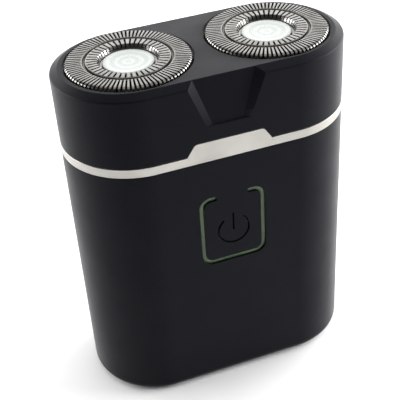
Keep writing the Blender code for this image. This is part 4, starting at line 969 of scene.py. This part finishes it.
def head_cap():
    """The cap: bevelled rim, two round holes, thumb notch, and what holds the bracket inside."""
    low = BAND_TOP + SEAM
    foot = (0.0, low)
    shoulder = (0.0, HEAD_TOP - BEVEL_DROP)
    crown = (BEVEL_INSET, HEAD_TOP)
    middle = (HALF_DEPTH / 2, HEAD_TOP)
    profile = [(SEAM_EDGE, low), (0.0, low + SEAM_EDGE)]
    profile += rounded_bend(foot, shoulder, crown)
    profile += rounded_bend(shoulder, crown, middle)
    cap = loft("head_cap", [level(stadium(inset), z) for inset, z in profile])
    cavity = prism("cavity", stadium(WALL), low - OVERCUT, ROOF_LOW)
    boolean(cap, "DIFFERENCE", cavity)
    pad_y = FRONT + WALL + PAD_INSET
    pad_outline = rounded_rectangle(
        PAD_WIDTH, PAD_DEPTH, PAD_CORNER, 0.0, pad_y, INNER_CORNER_STEPS
    )
    pad = prism("pad", pad_outline, PAD_LOW, ROOF_LOW + PAD_EMBED)
    boolean(cap, "UNION", pad)
    recess = prism("recess", tab_outline(SEAM), FRONT - OVERCUT, FRONT + WALL + OVERCUT, "Y")
    boolean(cap, "DIFFERENCE", notch_cutter(), recess)
    soften(cap, NOTCH_EDGE, 3, NOTCH_ANGLE, on_notch)
    soften(cap, SEAM_EDGE, inside=on_tab_recess)
    for x in (-FOIL_X, FOIL_X):
        boolean(cap, "DIFFERENCE", foil_hole(x))
    rib_outline = rounded_rectangle(
        RIB_WIDTH, RIB_DEPTH, RIB_CORNER, steps=INNER_CORNER_STEPS
    )
    rib = prism("rib", rib_outline, RIB_LOW, ROOF_LOW + EMBED)
    stud = prism("stud", circle(STUD_RADIUS, STUD_STEPS), STUD_LOW, STUD_HIGH)
    boolean(cap, "UNION", rib, stud)
    shade(cap, SOFT_BLACK, even=True)
    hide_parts("head_frame")
    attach(cap, "head")


# ---------------------------------------------------------------- foils
def foil_rows():
    """The foil's profile from its bore outwards, as (radius, height, track).

    The track is the one whose slots run from this row to the next, or nothing where the sheet is
    closed all round.
    """
    top = FOIL_CREST
    floor = top - WELL_DEPTH
    groove = top - GROOVE_DEPTH
    shoulder = arc(FOIL_RADIUS - SHOULDER, top - SHOULDER, SHOULDER, 90.0, 0.0, RIM_STEPS)
    well = [
        (FOIL_BORE, floor, ""),
        (WELL_FOOT - 0.3 * MM, floor, ""),
        (WELL_FOOT, floor + 0.1 * MM, ""),
        (WELL_FOOT + 0.1 * MM, floor + 0.35 * MM, "inner"),
        (WELL_RADIUS - 0.1 * MM, top - 0.45 * MM, "inner"),
        (WELL_RADIUS, top - 0.2 * MM, "inner"),
        (WELL_RADIUS + 0.1 * MM, top - 0.05 * MM, "inner"),
        (WELL_RADIUS + 0.28 * MM, top, "inner"),
    ]
    tracks = [
        (WELL_RADIUS + SLOT_END, top, "inner"),
        (INNER_TRACK_OUTER - SLOT_END, top, "inner"),
        (INNER_TRACK_OUTER - TRACK_EDGE, top, ""),
        (INNER_TRACK_OUTER - LIP, top - LIP_DROP, ""),
        (INNER_TRACK_OUTER, groove + GROOVE_FILLET_RISE, ""),
        (INNER_TRACK_OUTER + GROOVE_FILLET, groove, ""),
        (OUTER_TRACK_INNER - GROOVE_FILLET, groove, ""),
        (OUTER_TRACK_INNER, groove + GROOVE_FILLET_RISE, ""),
        (OUTER_TRACK_INNER + LIP, top - LIP_DROP, ""),
        (OUTER_TRACK_INNER + TRACK_EDGE, top, "outer"),
        (OUTER_TRACK_INNER + SLOT_END, top, "outer"),
        (FOIL_RADIUS - SHOULDER - 1.0 * MM, top, "outer"),
    ]
    skirt = [(radius, z, "outer") for radius, z in shoulder]
    skirt += [
        (FOIL_RADIUS, top - SHOULDER - 0.35 * MM, "outer"),
        (FOIL_RADIUS, top - SHOULDER - 0.6 * MM, ""),
        (FOIL_RADIUS, FOIL_FOOT + FLANGE_HEIGHT, ""),
        (FLANGE_RADIUS, FOIL_FOOT + FLANGE_HEIGHT, ""),
        (FLANGE_RADIUS, FOIL_FOOT, ""),
    ]
    return well + tracks + skirt


def slot_ends(rows, track):
    """The rows where a track's slots start and stop."""
    slotted = [index for index, row in enumerate(rows) if row[2] == track]
    return slotted[0], slotted[-1] + 1


def foil_vertices(rows):
    """The rows turned round the axis. Slots are narrower at their ends, which rounds them."""
    ends = {track: slot_ends(rows, track) for track in SLOT_COLUMNS}
    vertices = []
    for index, (radius, z, _) in enumerate(rows):
        for column in range(COLUMNS):
            turn = float(column)
            for track, (low, high) in SLOT_COLUMNS.items():
                step = column % SLOT_PITCH[track]
                if index in ends[track] and step in (low, high):
                    narrowing = SLOT_END_NARROWING if step == low else -SLOT_END_NARROWING
                    turn += narrowing * (high - low)
            angle = 2 * math.pi * turn / COLUMNS
            vertices.append((radius * math.cos(angle), radius * math.sin(angle), z))
    return vertices


def foil_faces(rows):
    """The sheet between the rows, left out where a slot is open."""
    faces = []
    for index, (_, _, track) in enumerate(rows[:-1]):
        for column in range(COLUMNS):
            if track:
                low, high = SLOT_COLUMNS[track]
                if low <= column % SLOT_PITCH[track] < high:
                    continue
            beside = (column + 1) % COLUMNS
            a = index * COLUMNS
            b = a + COLUMNS
            faces.append((a + column, b + column, b + beside, a + beside))
    return faces


def foil_cup(side, x):
    """A thin sheet on the foil's profile, with its slots left open."""
    rows = foil_rows()
    mesh = bpy.data.meshes.new("foil_cup_" + side)
    mesh.from_pydata(foil_vertices(rows), [], foil_faces(rows))
    mesh.update()
    foil = new_object("foil_cup_" + side, mesh)
    sheet = foil.modifiers.new("sheet", "SOLIDIFY")
    sheet.thickness = FOIL_SHEET
    sheet.offset = -1.0
    apply_modifiers(foil)
    foil.location = (x, 0.0, 0.0)
    shade(foil, FOIL_STEEL, 35.0)
    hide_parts("foil_" + side)
    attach(foil, "foil_" + side)


def centre_cap(side, x):
    """The pale cap in the foil's well: a rounded rim round a shallow dish."""
    top = DISC_CREST
    profile = [(0.0, top - DISH_DEPTH)]
    for share in DISH_SHARES:
        profile.append((DISC_RADIUS * share, top - DISH_DEPTH * (1.0 - share * share)))
    profile.append((DISC_RADIUS * DISH_MOUTH, top - DISH_MOUTH_DROP))
    profile += arc(DISC_RADIUS - DISC_RIM, top - DISC_RIM, DISC_RIM, 90.0, 0.0, RIM_STEPS)
    profile += [(DISC_RADIUS, DISC_FOOT), (0.0, DISC_FOOT)]
    cap = turned("centre_cap_" + side, profile)
    cap.location = (x, 0.0, 0.0)
    shade(cap, PALE_DISC, 40.0)
    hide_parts("foil_disc_" + side)
    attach(cap, "foil_" + side)


# ---------------------------------------------------------------- springs
def coil_spring(side, x):
    """The spring of a drive spindle, with flat end turns."""
    low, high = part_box("spindle_spring_" + side)
    radius = (high.x - low.x) / 2 - SPRING_WIRE
    foot = low.z + SPRING_WIRE
    rise = high.z - low.z - 2 * SPRING_WIRE
    loops = []
    for index in range(SPRING_TURNS * SPRING_STEPS + 1):
        turn = index / SPRING_STEPS
        share = min(max((turn - SPRING_FLAT) / (SPRING_TURNS - 2 * SPRING_FLAT), 0.0), 1.0)
        angle = 2 * math.pi * turn
        loop = []
        for out, up in circle(SPRING_WIRE, WIRE_SIDES):
            reach = radius + out
            height = foot + rise * share + up
            loop.append((reach * math.cos(angle), reach * math.sin(angle), height))
        loops.append(loop)
    spring = loft("coil_spring_" + side, loops)
    spring.location = (x, 0.0, 0.0)
    shade(spring, BRIGHT_METAL, 50.0)
    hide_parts("spindle_spring_" + side)
    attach(spring, "gear_" + side)
    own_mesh(spring)


# ---------------------------------------------------------------- studio
CAMERA_AIM = Vector((0.0, 0.0, 40.0 * MM))
CAMERA_OFFSET = Vector((1.852 * MM, -1.344 * MM, 201.178 * MM))
CAMERA_YAW = 0.315
CAMERA_PITCH = 0.621
CAMERA_ROLL = -0.072
LENS = 82.46
FLOOR_RADIUS = 4.0
WORLD_STRENGTH = 0.1


def place_camera():
    """The camera stands in front, to the left and above, and looks down on the shaver."""
    turn = Matrix.Rotation(CAMERA_ROLL, 3, "Z")
    tilt = Matrix.Rotation(CAMERA_PITCH + math.pi / 2, 3, "X")
    look = turn @ tilt @ Matrix.Rotation(CAMERA_YAW, 3, "Z")
    data = bpy.data.cameras.new("camera")
    data.lens = LENS
    data.sensor_width = 36.0
    data.clip_start = 0.01
    data.clip_end = 20.0
    camera = new_object("camera", data)
    facing = look.transposed() @ Matrix.Diagonal((1.0, -1.0, -1.0))
    place = CAMERA_AIM - look.transposed() @ CAMERA_OFFSET
    camera.matrix_world = Matrix.Translation(place) @ facing.to_4x4()
    bpy.context.scene.camera = camera


def area_light(name, place, size, radiance):
    """A rectangular lamp turned to the middle of the shaver, as bright as a wall of the radiance."""
    data = bpy.data.lights.new(name, "AREA")
    data.shape = "RECTANGLE"
    data.size, data.size_y = size
    data.energy = math.pi * size[0] * size[1] * radiance
    light = new_object(name, data)
    light.location = place
    direction = CAMERA_AIM - Vector(place)
    light.rotation_mode = "QUATERNION"
    light.rotation_quaternion = direction.to_track_quat("-Z", "Y")


def floor():
    """A large plain sheet of pale paper under the shaver."""
    bpy.ops.mesh.primitive_circle_add(vertices=96, radius=FLOOR_RADIUS, fill_type="NGON")
    ground = bpy.context.object
    ground.name = "floor"
    n = Nodes("floor_paper")
    grain = n.noise(60.0, 3.0)
    n.set(
        Base_Color=n.ramp(grain, (0.90, 0.90, 0.90), (0.92, 0.92, 0.92)),
        Roughness=0.85,
        Specular_IOR_Level=0.1,
    )
    ground.data.materials.append(n.material)


def world():
    """A weak even light from all sides, besides the lamps."""
    made = bpy.data.worlds.new("studio")
    bpy.context.scene.world = made
    made.use_nodes = True
    background = made.node_tree.nodes["Background"]
    background.inputs["Color"].default_value = (1.0, 1.0, 1.0, 1.0)
    background.inputs["Strength"].default_value = WORLD_STRENGTH


def studio():
    """World, floor, the four lamps and the camera."""
    world()
    floor()
    area_light("overhead", (0.45, 0.05, 0.9), (2.0, 2.2), 1.25)
    area_light("back", (0.0, 1.0, 0.5), (2.4, 0.6), 2.9)
    area_light("right", (0.9, 0.05, 0.2), (1.1, 0.5), 17.0)
    area_light("left", (-0.8, 0.6, 0.2), (1.1, 0.4), 14.0)
    bpy.context.scene.view_settings.view_transform = "Standard"
    place_camera()


# ---------------------------------------------------------------- build
studio()
copy_cad_nodes()
housing()
power_flap()
guide_rib()
trim_band()
head_cap()
for which, centre_x in (("left", -FOIL_X), ("right", FOIL_X)):
    foil_cup(which, centre_x)
    centre_cap(which, centre_x)
    coil_spring(which, centre_x)
